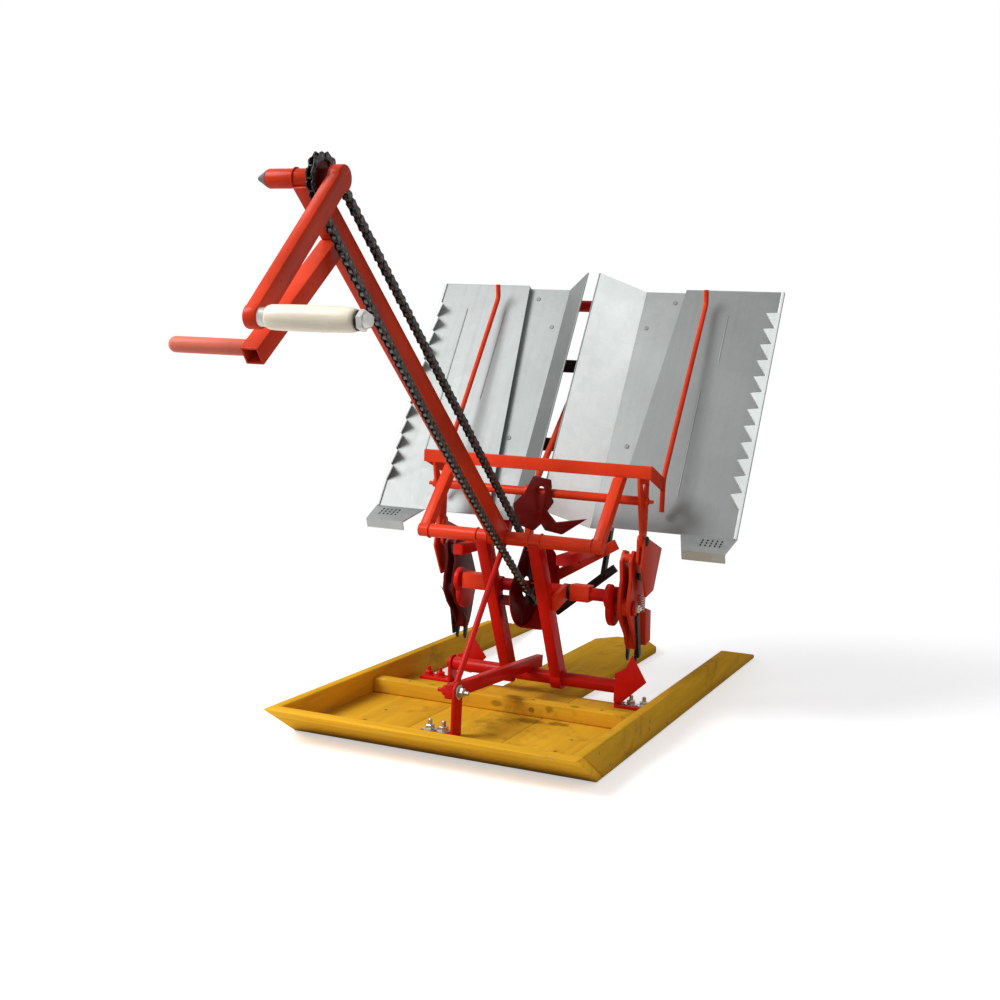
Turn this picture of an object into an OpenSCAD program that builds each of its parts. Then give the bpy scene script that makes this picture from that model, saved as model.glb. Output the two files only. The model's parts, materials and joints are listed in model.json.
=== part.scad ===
// Two-row hand-cranked rice transplanter on a wooden float.
// Millimetres, +Z up, the operator walks at -Y, the seedling tray faces -Y.
// Sub-parts are built about the point under the main shaft, on the sole's plane.

/* [Float] */
// Overall width of the float over its side boards
float_w = 470; // [380:1:560]
// Thickness of the side boards
side_t = 16; // [10:1:24]
// Height of the side boards and the prow
side_h = 50; // [36:1:70]
// Thickness of the floor planks and the middle plank
floor_t = 14; // [8:1:20]
// Top front edge of the prow board
prow_y = -370; // [-430:1:-320]
// Front edge of the flat sole
sole_y = -285; // [-300:1:-270]
// Prow board measured along the float
prow_t = 26; // [16:1:34]
// Where the tails of the side boards start to fall
tail_top_y = 400; // [300:1:440]
// Rear tips of the side boards
tail_y = 600; // [500:1:680]
// Height left at the tips of the tails
tail_h = 7; // [4:1:12]
// Front face of the cross board
cross_y = -75; // [-110:1:-40]
// Cross board along the float
cross_t = 24; // [14:1:34]
// Top of the cross board above the sole
cross_h = 37; // [28:1:48]
// Rear edge of the floor planks
floor_end_y = 78; // [75:1:90]
// Width of the middle plank
keel_w = 124; // [80:1:150]
// Rear end of the middle plank
keel_y = 575; // [480:1:640]

/* [Lower frame] */
// Base tube centre along the float
base_y = 60; // [56:1:62]
// Base tube centre above the sole
base_z = 45; // [42:1:50]
// Base tube radius
base_r = 11; // [9:0.5:13]
// Free width between each end of the base tube and the side board
base_clear = 77; // [73:1:84]
// Rear and front bracket strip thickness
strip_t = 5; // [3:0.5:7]
// Rear bracket strip width
strip_w = 28; // [24:1:32]
// Rear bracket foot length
foot_len = 56; // [40:1:66]
// Front bracket centre along the float
front_br_y = -236; // [-246:1:-200]
// Height of the front bracket's pin
front_pin_z = 79; // [70:1:88]
// Depth arm width across the machine
depth_w = 12; // [8:1:16]
// Depth arm height
depth_h = 20; // [14:1:26]
// Rear cut end of the depth arm
depth_end_y = 98; // [84:1:120]
// Brace rod radius
brace_r = 4.5; // [3:0.5:6]
// Distance of each leg from the middle
leg_x = 43; // [40:1:50]
// Leg tube across the machine
leg_w = 18; // [14:1:22]
// Leg tube along its lean
leg_d = 25; // [18:1:30]
// Side mud plates, height of the diamond
mud_h = 56; // [40:1:62]
// Side mud plates, thickness
mud_t = 3; // [2:0.5:5]

/* [Upper frame] */
// Front tube centre along the machine
front_y = -67; // [-80:1:-60]
// Front tube height
front_z = 280; // [272:1:290]
// Front tube radius
front_r = 10.5; // [8:0.5:13]
// Front tube half length
front_half = 151; // [145:1:160]
// Side bars, distance of their middle from the centre line
bar_x = 142; // [136:1:146]
// Side bar across the machine
bar_w = 16; // [12:1:20]
// Side bar along its lean
bar_d = 18; // [14:1:24]
// U-strap half width
strap_half = 192; // [186:1:210]
// U-strap front face
strap_y = 18; // [12:1:24]
// U-strap lower edge
strap_z = 378; // [370:1:390]
// U-strap height
strap_h = 20; // [14:1:26]
// U-strap thickness
strap_t = 6; // [4:0.5:9]
// Length of the U-strap's bent ends
strap_end = 64; // [50:1:70]
// Press rod radius
press_r = 4; // [3:0.5:5]
// Ball at each bend of the press rods
press_ball = 4.8; // [4.5:0.1:7]
// Guide rod centre along the machine
guide_y = 40; // [36:1:42]
// Guide rod height
guide_z = 342; // [336:1:350]
// Guide rod radius
guide_r = 7; // [5:0.5:9]
// Inner face of the rocker hangers
hanger_x = 170; // [170:1:176]
// Hanger plate thickness
hanger_t = 5; // [4:0.5:7]
// Height of the rocker pivot
rocker_z = 279; // [276:1:290]

/* [Arm and handle] */
// Crank axis along the machine
top_y = -657; // [-690:1:-640]
// Arm across the machine
arm_w = 20; // [16:1:24]
// Arm depth
arm_d = 30; // [24:1:36]
// Middle of the arm across the machine
arm_x = -14; // [-18:1:-13]
// Bearing tube outer radius
bear_r = 11; // [10:0.5:14]
// Left end of the bearing tube
bear_left = -60; // [-76:1:-50]
// Handle tube width
handle_w = 22; // [18:1:26]
// Handle tube length below the arm
handle_len = 218; // [160:1:240]
// Dip of the handle below level
handle_dip = 39; // [30:1:48]
// Where the handle leaves the arm, along the arm from the crank axis
handle_at = 96; // [80:1:130]
// Handle bar length
grip_bar_len = 102; // [80:1:140]
// Handle bar radius
grip_bar_r = 9; // [7:0.5:11]

/* [Chain drive] */
// Chain pitch
pitch = 12.7; // [9.525:0.025:12.7]
// Teeth of both sprockets, a multiple of four keeps them in mesh at each quarter turn
teeth = 12; // [12:4:16]
// Pitches in each straight run of the chain
run_links = 70; // [66:1:74]
// Middle of the chain across the machine
chain_x = 8; // [7:0.5:9]
// Chain width over its plates
chain_w = 9; // [8:0.5:10]
// Half height of the link plates
plate_h = 4.8; // [4:0.1:5.5]
// Chain link plate thickness
plate_t = 1; // [0.8:0.1:1.4]
// Roller radius
roller_r = 3.9; // [3.2:0.1:4.2]
// Sag of the lower run
sag = 12; // [0:1:20]
// Sprocket thickness
sprocket_t = 5; // [4:0.5:5]
// Main shaft centre along the machine
shaft_y = 40; // [36:1:44]
// Main shaft height
shaft_z = 190; // [186:1:196]
// Main shaft radius
shaft_r = 10; // [8:0.5:12]
// Running clearance of every shaft and pin
run_gap = 0.05; // [0.02:0.01:0.1]
// Chain guard radius
guard_r = 66; // [56:1:72]
// Chain guard sheet
guard_t = 2; // [1.5:0.5:3]
// Shaft block outer end
block_out = 98; // [90:1:104]
// Shaft block height
block_h = 25; // [23:1:32]

/* [Crank] */
// Crank shaft radius
crank_shaft_r = 7; // [5:0.5:9]
// Crank radius
crank_len = 220; // [180:1:250]
// Crank bar width
crank_w = 24; // [18:1:28]
// Crank bar thickness
crank_t = 15; // [10:1:18]
// Inner face of the crank bar
crank_x = 22; // [21:0.5:26]
// Crank direction, counted from +Y towards +Z
crank_dir = 225; // [200:1:250]
// Grip length
grip_len = 100; // [80:1:130]
// Grip radius at its belly
grip_r = 14; // [11:0.5:17]
// Grip bolt radius
grip_bolt_r = 5; // [4:0.5:6]

/* [Planting units] */
// Half of the row spacing
row_x = 150; // [148:1:150]
// Throw of the crank discs
throw = 30; // [24:1:32]
// Crank disc radius
disc_r = 31; // [26:1:34]
// Crank disc thickness
disc_t = 8; // [6:0.5:10]
// Crank pin radius
pin_r = 8; // [6:0.5:9]
// Planting arm overall width
parm_w = 20; // [16:1:20]
// Planting arm cheek thickness
cheek_t = 5; // [3:0.5:6]
// Length of the claw prongs
claw_len = 42; // [36:1:44]
// Thickness of the spring housing on the outer cheek
housing_t = 9; // [6:0.5:9]
// Thickness of a claw prong
claw_t = 4; // [3:0.5:5]

/* [Seedling tray] */
// Lower fold of the tray along the machine
tray_y = 87; // [84:1:96]
// Lower fold of the tray, height
tray_z = 291; // [288:1:300]
// Lean of the tray from upright
lean = 30.7; // [28:0.1:33]
// Tray length up its slope
tray_len = 450; // [400:1:480]
// Half width of the tray
tray_half = 312; // [300:1:330]
// Sheet thickness
sheet_t = 2; // [1.5:0.25:3]
// Half width of the ridge at its base
ridge_half = 70; // [64:1:84]
// Height of the ridge above the bays
ridge_h = 45; // [40:1:46]
// Depth of the middle panel below the bays
step_h = 10; // [6:1:12]
// Half width of the slot at the ridge's top
slot_half = 10; // [9:0.5:14]
// Middle of the slot across the machine
slot_mid = -10; // [-14:1:0]
// Width of the ridge's flange at the top
flange_w = 74; // [60:1:78]
// Width of the ridge's flange at the fold
flange_foot = 36; // [28:1:40]
// Tooth pitch of the side flanges
tooth_p = 30; // [24:1:32]
// Tooth height of the side flanges
tooth_h = 27; // [18:1:30]
// Teeth on each side flange
tooth_n = 12; // [9:1:12]
// Lean of the toothed edge towards the middle
tooth_lean = 40; // [0:1:50]
// First tooth above the fold
tooth_u = 48; // [30:1:60]
// Lip reach in front of the fold
lip_len = 50; // [40:1:54]
// Inner end of the lip at the fold
lip_in = 222; // [220:1:240]
// Lip turned down at its front
lip_drop = 14; // [8:1:20]
// Tray travel to each side
travel = 45; // [30:1:45]
// Rail radius
rail_r = 10; // [8:0.5:11]
// Rail distance behind the sheet
rail_n = 30; // [26:1:34]
// Lower rail up the slope
rail_lo = 40; // [36:1:60]
// Upper rail below the tray's top edge
rail_hi = 20; // [20:1:70]
// Support post distance from the middle
post_x = 85; // [82:1:92]
// Support post thickness
post_w = 16; // [12:1:16]
// Lower face of the tray beams below the fold
beam_drop = 45; // [40:1:50]
// Height of the tray beams
beam_h = 16; // [12:1:20]
// Bridge strip width
bridge_w = 24; // [16:1:30]
// Distance between the bridge strips
bridge_step = 152; // [120:1:160]
// Where the feed strut meets the upper bridge strip, up the slope
strut_u = 297; // [270:1:320]
// Length of the feed tongue below the guide rod
tongue_len = 72; // [50:1:76]

/* [Hidden] */
$fn = 48;
far = 2000;
inner_half = float_w / 2 - side_t;
base_half = inner_half - base_clear;
slant = (sole_y - prow_y) / side_h;
// Wheel sizes of the chain drive and the line between its two shafts
pitch_r = pitch / 2 / sin(180 / teeth);
tip_r = pitch_r + roller_r * 0.75;
centres = run_links * pitch;
top_z = shaft_z + sqrt(centres * centres - (shaft_y - top_y) * (shaft_y - top_y));
drive_a = atan2(shaft_z - top_z, shaft_y - top_y);
// The arm runs from the crank axis to the front tube
arm_a = atan2(front_z - top_z, front_y - top_y);
arm_len = norm([front_y - top_y, front_z - top_z]);
handle_a = 180 + handle_dip;
bear_right = arm_x + arm_w / 2;
block_in = leg_x + leg_w / 2;
// Crank disc and planting arm stations across the machine
disc_x = row_x - parm_w / 2 - 8 - disc_t;
throw_a = -40;
pin_y = shaft_y + throw * cos(throw_a);
pin_z = shaft_z + throw * sin(throw_a);
parm_in = row_x - parm_w / 2;
parm_out = row_x + parm_w / 2;
collar_t = 4;
link_t = 5;
link_y = 55;
link_z = 250;
claw_y = pin_y + 38;
holder_z = pin_z - 66;
grip_y = top_y + crank_len * cos(crank_dir);
grip_z = top_z + crank_len * sin(crank_dir);
crank_out = crank_x + crank_t;
washer_t = 8;
hub_wall = 4;
// Upper rail above the fold
rail_top = tray_len - rail_hi;
// Saw teeth that find room along the tray's edge
tooth_fit = min(tooth_n, floor((tray_len - tooth_u) / tooth_p));
rail_half = 240;
shoe_x = 165;
shoe_w = 30;
press_x = strap_half - strap_t / 2;
plate_gap = 8;
stay_x = 117;
block_shift = 21;
stay_link = shoe_x - shoe_w / 2 - travel - 5;
stay_y = shaft_y + guard_r - 8;
bridge_t = 3;
// Inner edge of a seedling bay at the fold and at the top, across and up the slope
bay_foot = [ridge_half + flange_foot, 0];
bay_top = [ridge_half + flange_w, tray_len];
panel_n = -step_h - 1.5;
beam_z = tray_z - beam_drop;

// Extrudes an outline drawn in (Y, Z) from x0 to x1
module side(x0, x1) translate([x0, 0, 0]) rotate([90, 0, 90]) linear_extrude(height = x1 - x0) children();
// Round bar along X
module axle(x0, x1, y, z, r) translate([x0, y, z]) rotate([0, 90, 0]) cylinder(h = x1 - x0, r = r);
// Flat strip in (Y, Z) from p to q
module strip(p, q, w)
    translate(p) rotate(atan2(q[1] - p[1], q[0] - p[0])) translate([0, -w / 2]) square([norm(q - p), w]);
// Round rod between two points
module rod(p, q, r) {
    v = q - p;
    translate(p) rotate([0, acos(v[2] / norm(v)), atan2(v[1], v[0])]) cylinder(h = norm(v), r = r);
}
// Rod bent in the (Y, Z) plane at x through the points p, with a forged ball at each bend
module bent_rod(x, p, r, ball) {
    for (i = [0 : len(p) - 2])
        rod([x, p[i][0], p[i][1]], [x, p[i + 1][0], p[i + 1][1]], r);
    for (i = [1 : len(p) - 2])
        translate([x, p[i][0], p[i][1]]) sphere(r = ball);
}
module both() { children(); mirror([1, 0, 0]) children(); }
// Tray axes: X across, Y up the slope, Z out of the face towards the operator
module on_tray() translate([0, tray_y, tray_z]) rotate([90 - lean, 0, 0]) children();
function tray_pt(u, n) = [tray_y + u * sin(lean) - n * cos(lean), tray_z + u * cos(lean) + n * sin(lean)];

module base_bore(r) axle(-far, far, base_y, base_z, r);
module front_bore(r) axle(-far, far, front_y, front_z, r);
module rail_bores(r)
    for (u = [rail_lo, rail_top])
        axle(-far, far, tray_pt(u, -rail_n)[0], tray_pt(u, -rail_n)[1], r);

// Float
module float_front() color("goldenrod")
    side(-float_w / 2, float_w / 2)
        polygon([[sole_y, 0], [prow_y, side_h], [prow_y + prow_t, side_h], [sole_y + prow_t, 0]]);

module float_sides() color("goldenrod")
    both() side(inner_half, float_w / 2)
        polygon([[sole_y + prow_t, 0], [prow_y + prow_t, side_h], [tail_top_y, side_h],
                 [tail_y, tail_h], [tail_y, 0]]);

module float_floor() color("goldenrod")
    side(-inner_half, inner_half)
        polygon([[sole_y + prow_t, 0], [sole_y + prow_t - slant * floor_t, floor_t],
                 [floor_end_y, floor_t], [floor_end_y, 0]]);

module float_cross() color("goldenrod")
    translate([-inner_half, cross_y, floor_t]) cube([2 * inner_half, cross_t, cross_h - floor_t]);

module float_keel() color("goldenrod")
    linear_extrude(height = floor_t)
        polygon([[-keel_w / 2, floor_end_y], [keel_w / 2, floor_end_y], [keel_w / 2, keel_y - 45],
                 [keel_w / 4, keel_y], [-keel_w / 4, keel_y], [-keel_w / 2, keel_y - 45]]);

// Lower frame
module base_tube() color("crimson") axle(-base_half, base_half, base_y, base_z, base_r);

module rear_brackets() color("crimson")
    both() {
        side(base_half, base_half + strip_t) {
            translate([base_y - strip_w / 2, floor_t]) square([strip_w, base_z - floor_t]);
            translate([base_y, base_z]) circle(r = strip_w / 2);
        }
        translate([base_half, base_y - strip_w / 2, floor_t]) cube([foot_len, strip_w, strip_t]);
        axle(base_half, base_half + strip_t + 6, base_y, base_z, 7);
    }

module front_bracket() color("crimson") {
    side(0, strip_t) {
        translate([front_br_y - strip_w / 2, floor_t]) square([strip_w, front_pin_z - floor_t]);
        translate([front_br_y, front_pin_z]) circle(r = strip_w / 2);
    }
    translate([strip_t - foot_len, front_br_y - strip_w / 2, floor_t]) cube([foot_len, strip_w, strip_t]);
}

// Side outline of the depth arm, made longer at both ends by extra
module depth_outline(extra = 0) {
    p = [front_br_y - 12, front_pin_z + 1];
    q = [depth_end_y, base_z + base_r + 4];
    d = (q - p) / norm(q - p);
    strip(p - extra * d, q + extra * d, depth_h);
}

module depth_arm() color("crimson")
    difference() {
        side(-depth_w, 0) depth_outline();
        base_bore(base_r);
    }

module brace_rod() color("crimson")
    difference() {
        rod([-depth_w / 2, front_br_y + 14, front_pin_z + 8], [-depth_w / 2, front_y, front_z - 2], brace_r);
        front_bore(front_r);
        side(-far, far) depth_outline(depth_h);
        side(-far, far) arm_outline();
    }

// The right plate stands in front of its bracket, the left one inside and behind
module mud_plates() color("crimson") {
    translate([base_half, base_y - strip_w / 2, base_z]) rotate([90, 0, 0]) linear_extrude(height = mud_t)
        polygon([[0, -21], [12, -22], [52, mud_h / 2 - 12], [27, mud_h], [17, mud_h - 22], [0, 24]]);
    translate([-base_half, base_y + strip_w / 2 + 0.3, base_z]) rotate([90, 0, 0]) linear_extrude(height = mud_t)
        polygon([[0, -13], [26, -16], [52, mud_h / 4], [30, mud_h - 14], [18, 20], [0, 13]]);
}

module legs() color("crimson")
    both() difference() {
        union() {
            side(leg_x - leg_w / 2, leg_x + leg_w / 2)
                strip([front_y, front_z], [base_y, base_z], leg_d);
            axle(leg_x - leg_w / 2, leg_x + leg_w / 2, base_y, base_z, base_r + 6);
        }
        base_bore(base_r);
        front_bore(front_r);
    }

// Upper frame
module front_tube() color("red") axle(-front_half, front_half, front_y, front_z, front_r);

module side_bars() color("red")
    both() difference() {
        side(bar_x - bar_w / 2, bar_x + bar_w / 2)
            strip([front_y, front_z], [strap_y + strap_t / 2 + 8, strap_z + 8], bar_d);
        front_bore(front_r);
        translate([-far, -far, strap_z]) cube([2 * far, 2 * far, far]);
    }

module u_strap() color("red")
    translate([-strap_half, strap_y, strap_z]) cube([2 * strap_half, strap_t, strap_h]);

function press_path() = [[strap_y + strap_t + strap_end + press_r - 1, strap_z - 56],
                         [strap_y + strap_t + strap_end + press_r - 1, strap_z - 4],
                         tray_pt(tray_len - 38, 18), tray_pt(tray_len - 21, 33)];

module strap_ends() color("red")
    both() difference() {
        side(strap_half - strap_t, strap_half)
            polygon([[strap_y + strap_t, strap_z], [strap_y + strap_t, strap_z + strap_h],
                     [strap_y + strap_t + strap_end, strap_z - 22 + strap_h],
                     [strap_y + strap_t + strap_end, strap_z - 22]]);
        bent_rod(press_x, press_path(), press_r, press_ball);
    }

module press_rods() color("red")
    both() bent_rod(press_x, press_path(), press_r, press_ball);

module guide_rod() color("silver") axle(-hanger_x, hanger_x, guide_y, guide_z, guide_r);

module hangers() color("red")
    both() {
        side(hanger_x, hanger_x + hanger_t) difference() {
            union() {
                polygon([[strap_y - 2, strap_z], [guide_y + 26, strap_z], [link_y + 12, rocker_z],
                         [link_y - 12, rocker_z]]);
                translate([link_y, rocker_z]) circle(r = 12);
            }
            polygon([[strap_y + 14, strap_z - 10], [guide_y + 16, strap_z - 10],
                     [guide_y + 8, guide_z + 12], [strap_y + 22, guide_z + 12]]);
        }
        side(hanger_x + hanger_t, hanger_x + hanger_t + 4)
            polygon([[link_y - 9, rocker_z + 4], [link_y + 9, rocker_z + 4], [link_y + 84, rocker_z - 20],
                     [link_y + 50, rocker_z - 84], [link_y + 14, rocker_z - 90], [link_y - 16, rocker_z - 40]]);
        side(hanger_x - link_t, hanger_x) {
            strip([link_y, rocker_z], [link_y, link_z], 16);
            translate([link_y, link_z]) circle(r = 9);
            translate([link_y, rocker_z]) circle(r = 9);
        }
    }

// Arm and handle
module arm_outline() strip([top_y, top_z], [front_y, front_z], arm_d);

module main_arm() color("orangered")
    difference() {
        side(arm_x - arm_w / 2, arm_x + arm_w / 2) arm_outline();
        front_bore(front_r);
        axle(-far, far, top_y, top_z, bear_r);
    }

module bearing_tube() color("orangered")
    difference() {
        axle(bear_left, bear_right, top_y, top_z, bear_r);
        axle(-far, far, top_y, top_z, crank_shaft_r + run_gap);
    }

function handle_root() = [top_y + handle_at * cos(arm_a), top_z + handle_at * sin(arm_a)];
function handle_end() = handle_root() + handle_len * [cos(handle_a), sin(handle_a)];

module handle_arm() color("orangered")
    difference() {
        side(arm_x - handle_w / 2, arm_x + handle_w / 2) strip(handle_root(), handle_end(), handle_w);
        side(-far, far) arm_outline();
        side(arm_x - handle_w / 2 + 2.5, arm_x + handle_w / 2 - 2.5)
            strip(handle_end() - 40 * [cos(handle_a), sin(handle_a)],
                  handle_end() + 10 * [cos(handle_a), sin(handle_a)], handle_w - 5);
    }

module handle_bar() color("tomato") {
    c = handle_end() - 14 * [cos(handle_a), sin(handle_a)];
    x1 = arm_x - handle_w / 2;
    axle(x1 - grip_bar_len + grip_bar_r, x1, c[0], c[1], grip_bar_r);
    translate([x1 - grip_bar_len + grip_bar_r, c[0], c[1]]) sphere(r = grip_bar_r);
}

// Chain drive
// Pin centres round the loop: top wheel, upper run, lower wheel, lower run
loop_n = 2 * run_links + teeth;
function wheel_pt(y, z, a) = [y + pitch_r * cos(a), z + pitch_r * sin(a)];
function loop_pt(i) =
    let (j = i % loop_n, u = [cos(drive_a), sin(drive_a)], n = [-sin(drive_a), cos(drive_a)],
         s = (j - run_links - teeth / 2) / run_links)
    j <= run_links ? [top_y, top_z] + pitch_r * n + j * pitch * u
    : j <= run_links + teeth / 2
        ? wheel_pt(shaft_y, shaft_z, drive_a + 90 - (j - run_links) * 360 / teeth)
    : j <= 2 * run_links + teeth / 2
        ? [shaft_y, shaft_z] - pitch_r * n - s * centres * u - 4 * sag * s * (1 - s) * n
    : wheel_pt(top_y, top_z, drive_a - 90 - (j - 2 * run_links - teeth / 2) * 360 / teeth);
function loop_dir(i) =
    let (v = loop_pt(i + 1) - loop_pt(i + loop_n - 1)) v / norm(v);
// Outline of one side of the links: full height at each pin, waisted between pins
function loop_edge(h) = [for (i = [0 : loop_n - 1])
    let (p = loop_pt(i), q = loop_pt(i + 1), d = loop_dir(i), m = (p + q) / 2, e = (q - p) / norm(q - p),
         n = [-d[1], d[0]], k = [-e[1], e[0]])
    each [p + h * n, m + 0.62 * h * k]];

module chain_plates() difference() {
    polygon(loop_edge(plate_h));
    polygon(loop_edge(-plate_h));
}

module chain() color("dimgray") {
    for (x = [chain_x - chain_w / 2, chain_x + chain_w / 2 - plate_t])
        side(x, x + plate_t) chain_plates();
    // Rollers stop short of the wheels, so that the teeth can turn between the plates
    for (i = [0 : loop_n - 1])
        if (min(norm(loop_pt(i) - [top_y, top_z]), norm(loop_pt(i) - [shaft_y, shaft_z])) > tip_r + 2 * roller_r)
            translate([chain_x - chain_w / 2 + plate_t / 2, loop_pt(i)[0], loop_pt(i)[1]])
                rotate([0, 90, 0]) cylinder(h = chain_w - plate_t, r = roller_r, $fn = 6);
}

// Toothed wheel with a seat for each roller, turned so that its seats meet the pins
module sprocket(y, z, bore) {
    root = pitch_r - roller_r - 0.6;
    step = 360 / teeth;
    a0 = drive_a + 90;
    side(chain_x - sprocket_t / 2, chain_x + sprocket_t / 2) difference() {
        translate([y, z]) polygon([for (i = [0 : teeth - 1]) each [
            root * [cos(a0 + (i - 0.16) * step), sin(a0 + (i - 0.16) * step)],
            root * [cos(a0 + (i + 0.16) * step), sin(a0 + (i + 0.16) * step)],
            tip_r * [cos(a0 + (i + 0.45) * step), sin(a0 + (i + 0.45) * step)],
            tip_r * [cos(a0 + (i + 0.55) * step), sin(a0 + (i + 0.55) * step)]]]);
        translate([y, z]) circle(r = bore);
    }
}

module lower_sprocket() color("dimgray") {
    sprocket(shaft_y, shaft_z, shaft_r);
    difference() {
        axle(chain_x - 9, chain_x + 10, shaft_y, shaft_z, shaft_r + 5);
        axle(-far, far, shaft_y, shaft_z, shaft_r);
    }
}

// Point of the leg's middle line at height z
function leg_at(z) = [front_y + (front_z - z) / (front_z - base_z) * (base_y - front_y), z];

module shaft_block(x0, x1)
    difference() {
        union() {
            translate([x0, shaft_y - block_h / 2, shaft_z - block_h / 2]) cube([x1 - x0, block_h, block_h]);
            axle(block_in, x1 - 1, shaft_y, shaft_z, shaft_r + 2);
            side(block_in, block_in + 8) strip([shaft_y, shaft_z], leg_at(shaft_z - block_h / 2), block_h);
        }
        axle(-far, far, shaft_y, shaft_z, shaft_r + run_gap);
    }

// The left block stands further out along the shaft
module shaft_blocks() color("orangered") {
    shaft_block(block_in + 14, block_out);
    mirror([1, 0, 0]) shaft_block(block_in + 22, block_out + block_shift);
}

module chain_guard() color("firebrick") {
    x0 = chain_x - 22;
    x1 = chain_x + 12;
    difference() {
        axle(x0, x1, shaft_y, shaft_z, guard_r);
        axle(x0 + guard_t, x1 + 1, shaft_y, shaft_z, guard_r - guard_t);
        axle(x0 - 1, x1, shaft_y, shaft_z, shaft_r + 6);
        // Mouth for the chain, towards the arm
        side(x0 + guard_t, x1 + 1) translate([shaft_y, shaft_z]) rotate(drive_a + 180)
            polygon([[0, 0], [far, far * 0.7], [-30, far], [-30, 0]]);
        side(x0 + guard_t, x1 + 1) translate([shaft_y, shaft_z]) rotate(drive_a + 180)
            translate([0, -34]) square([far, 40]);
        // Flat edge of the disc where the arm comes past
        side(x0 - 1, x1 + 1) translate([shaft_y, shaft_z]) rotate(drive_a + 180)
            translate([52, -far]) square([far, 2 * far]);
    }
    // Distance piece to the left leg
    translate([-leg_x + leg_w / 2, shaft_y - 58, shaft_z - 23])
        cube([x0 + leg_x - leg_w / 2, 14, 14]);
}

// Tray carriers
module tray_beams() color("firebrick")
    both() difference() {
        translate([post_x - post_w / 2, front_y, beam_z])
            cube([post_w, tray_pt(0, -rail_n - 8)[0] + 12 - front_y, beam_h]);
        front_bore(front_r);
    }

module tray_posts() color("firebrick")
    both() difference() {
        translate([post_x - post_w / 2, 0, 0]) intersection() {
            on_tray() translate([0, -60, -rail_n - 16]) cube([post_w, rail_top + 80, 16]);
            translate([0, -far, beam_z + beam_h]) cube([post_w, 2 * far, far]);
        }
        rail_bores(rail_r);
    }

module tray_rails() color("firebrick")
    for (u = [rail_lo, rail_top])
        axle(-rail_half, rail_half, tray_pt(u, -rail_n)[0], tray_pt(u, -rail_n)[1], rail_r);

// Crank
module crank_shaft() color("silver") {
    axle(bear_left - 4, crank_out - hub_wall, top_y, top_z, crank_shaft_r);
    translate([bear_left - 4, top_y, top_z]) rotate([0, -90, 0])
        cylinder(h = 9, r1 = crank_shaft_r, r2 = 2);
}

module top_sprocket() color("dimgray") {
    sprocket(top_y, top_z, crank_shaft_r);
    difference() {
        axle(bear_right + 1, crank_x, top_y, top_z, crank_shaft_r + 4);
        axle(-far, far, top_y, top_z, crank_shaft_r);
        side(chain_x - sprocket_t / 2, chain_x + sprocket_t / 2) translate([top_y, top_z]) circle(r = 20);
    }
}

module crank_arm() color("brown") {
    difference() {
        side(crank_x, crank_out) {
            strip([top_y, top_z], [grip_y, grip_z], crank_w);
            translate([top_y, top_z]) circle(r = crank_w / 2 + 3);
            translate([grip_y, grip_z]) circle(r = crank_w / 2 + 0.8);
        }
        axle(-far, crank_out - hub_wall, top_y, top_z, crank_shaft_r);
    }
    axle(crank_out, crank_out + washer_t, grip_y, grip_z, grip_r * 0.7);
    axle(crank_out, crank_out + washer_t + grip_len + 16, grip_y, grip_z, grip_bolt_r);
    axle(crank_out + washer_t + grip_len + 1.5, crank_out + washer_t + grip_len + 10, grip_y, grip_z, 9);
}

module grip() color("wheat")
    translate([crank_out + washer_t + 0.5, grip_y, grip_z]) rotate([0, 90, 0]) rotate_extrude()
        polygon([[grip_bolt_r + run_gap, 0], [grip_r - 3, 0], [grip_r - 0.8, 4], [grip_r, grip_len * 0.35],
                 [grip_r - 1, grip_len * 0.8], [grip_r - 3, grip_len], [grip_bolt_r + run_gap, grip_len]]);

// Main shaft
module main_shaft() color("silver") axle(-disc_x, disc_x, shaft_y, shaft_z, shaft_r);

module crank_discs() color("firebrick")
    both() {
        side(disc_x, disc_x + disc_t) {
            translate([pin_y, pin_z]) circle(r = disc_r);
            translate([shaft_y, shaft_z]) circle(r = shaft_r + 9);
        }
        axle(disc_x + disc_t, parm_out + 1 + collar_t, pin_y, pin_z, pin_r);
        axle(parm_out + 1, parm_out + 1 + collar_t, pin_y, pin_z, pin_r + 4);
    }

// Planting arms
// Outline of the cheeks: a broad leaf from the link end round the pin down to the claw
module cheek_outline() {
    polygon([[link_y - 12, link_z - 4], [link_y + 2, link_z + 12], [link_y + 20, link_z + 8],
             [pin_y + 46, pin_z + 50], [pin_y + 64, pin_z + 20], [pin_y + 63, pin_z - 20],
             [pin_y + 54, pin_z - 50], [claw_y + 9, holder_z], [claw_y - 9, holder_z],
             [pin_y + 18, pin_z - 46], [pin_y - 6, pin_z - 24], [pin_y - 20, pin_z - 4],
             [pin_y - 21, pin_z + 20], [pin_y - 14, pin_z + 46]]);
}

module planting_arm() {
    difference() {
        union() {
            for (x = [parm_in, parm_out - cheek_t]) side(x, x + cheek_t) cheek_outline();
            axle(parm_in, parm_out, pin_y, pin_z, pin_r + 6);
            axle(parm_in, parm_out, link_y, link_z, 7);
            side(parm_in + 1, parm_out - 1) {
                strip([pin_y + 38, pin_z + 50], [pin_y + 58, pin_z + 18], 7);
                strip([pin_y + 59, pin_z + 16], [pin_y + 54, pin_z - 34], 7);
                strip([claw_y, pin_z - 26], [claw_y, holder_z - 5], 17);
            }
            // Spring housing on the outer cheek
            side(parm_out - 1, parm_out + housing_t)
                polygon([[pin_y + 38, pin_z - 4], [pin_y + 67, pin_z - 12], [pin_y + 72, holder_z + 4],
                         [pin_y + 46, holder_z]]);
        }
        axle(-far, far, pin_y, pin_z, pin_r + run_gap);
    }
}

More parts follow.
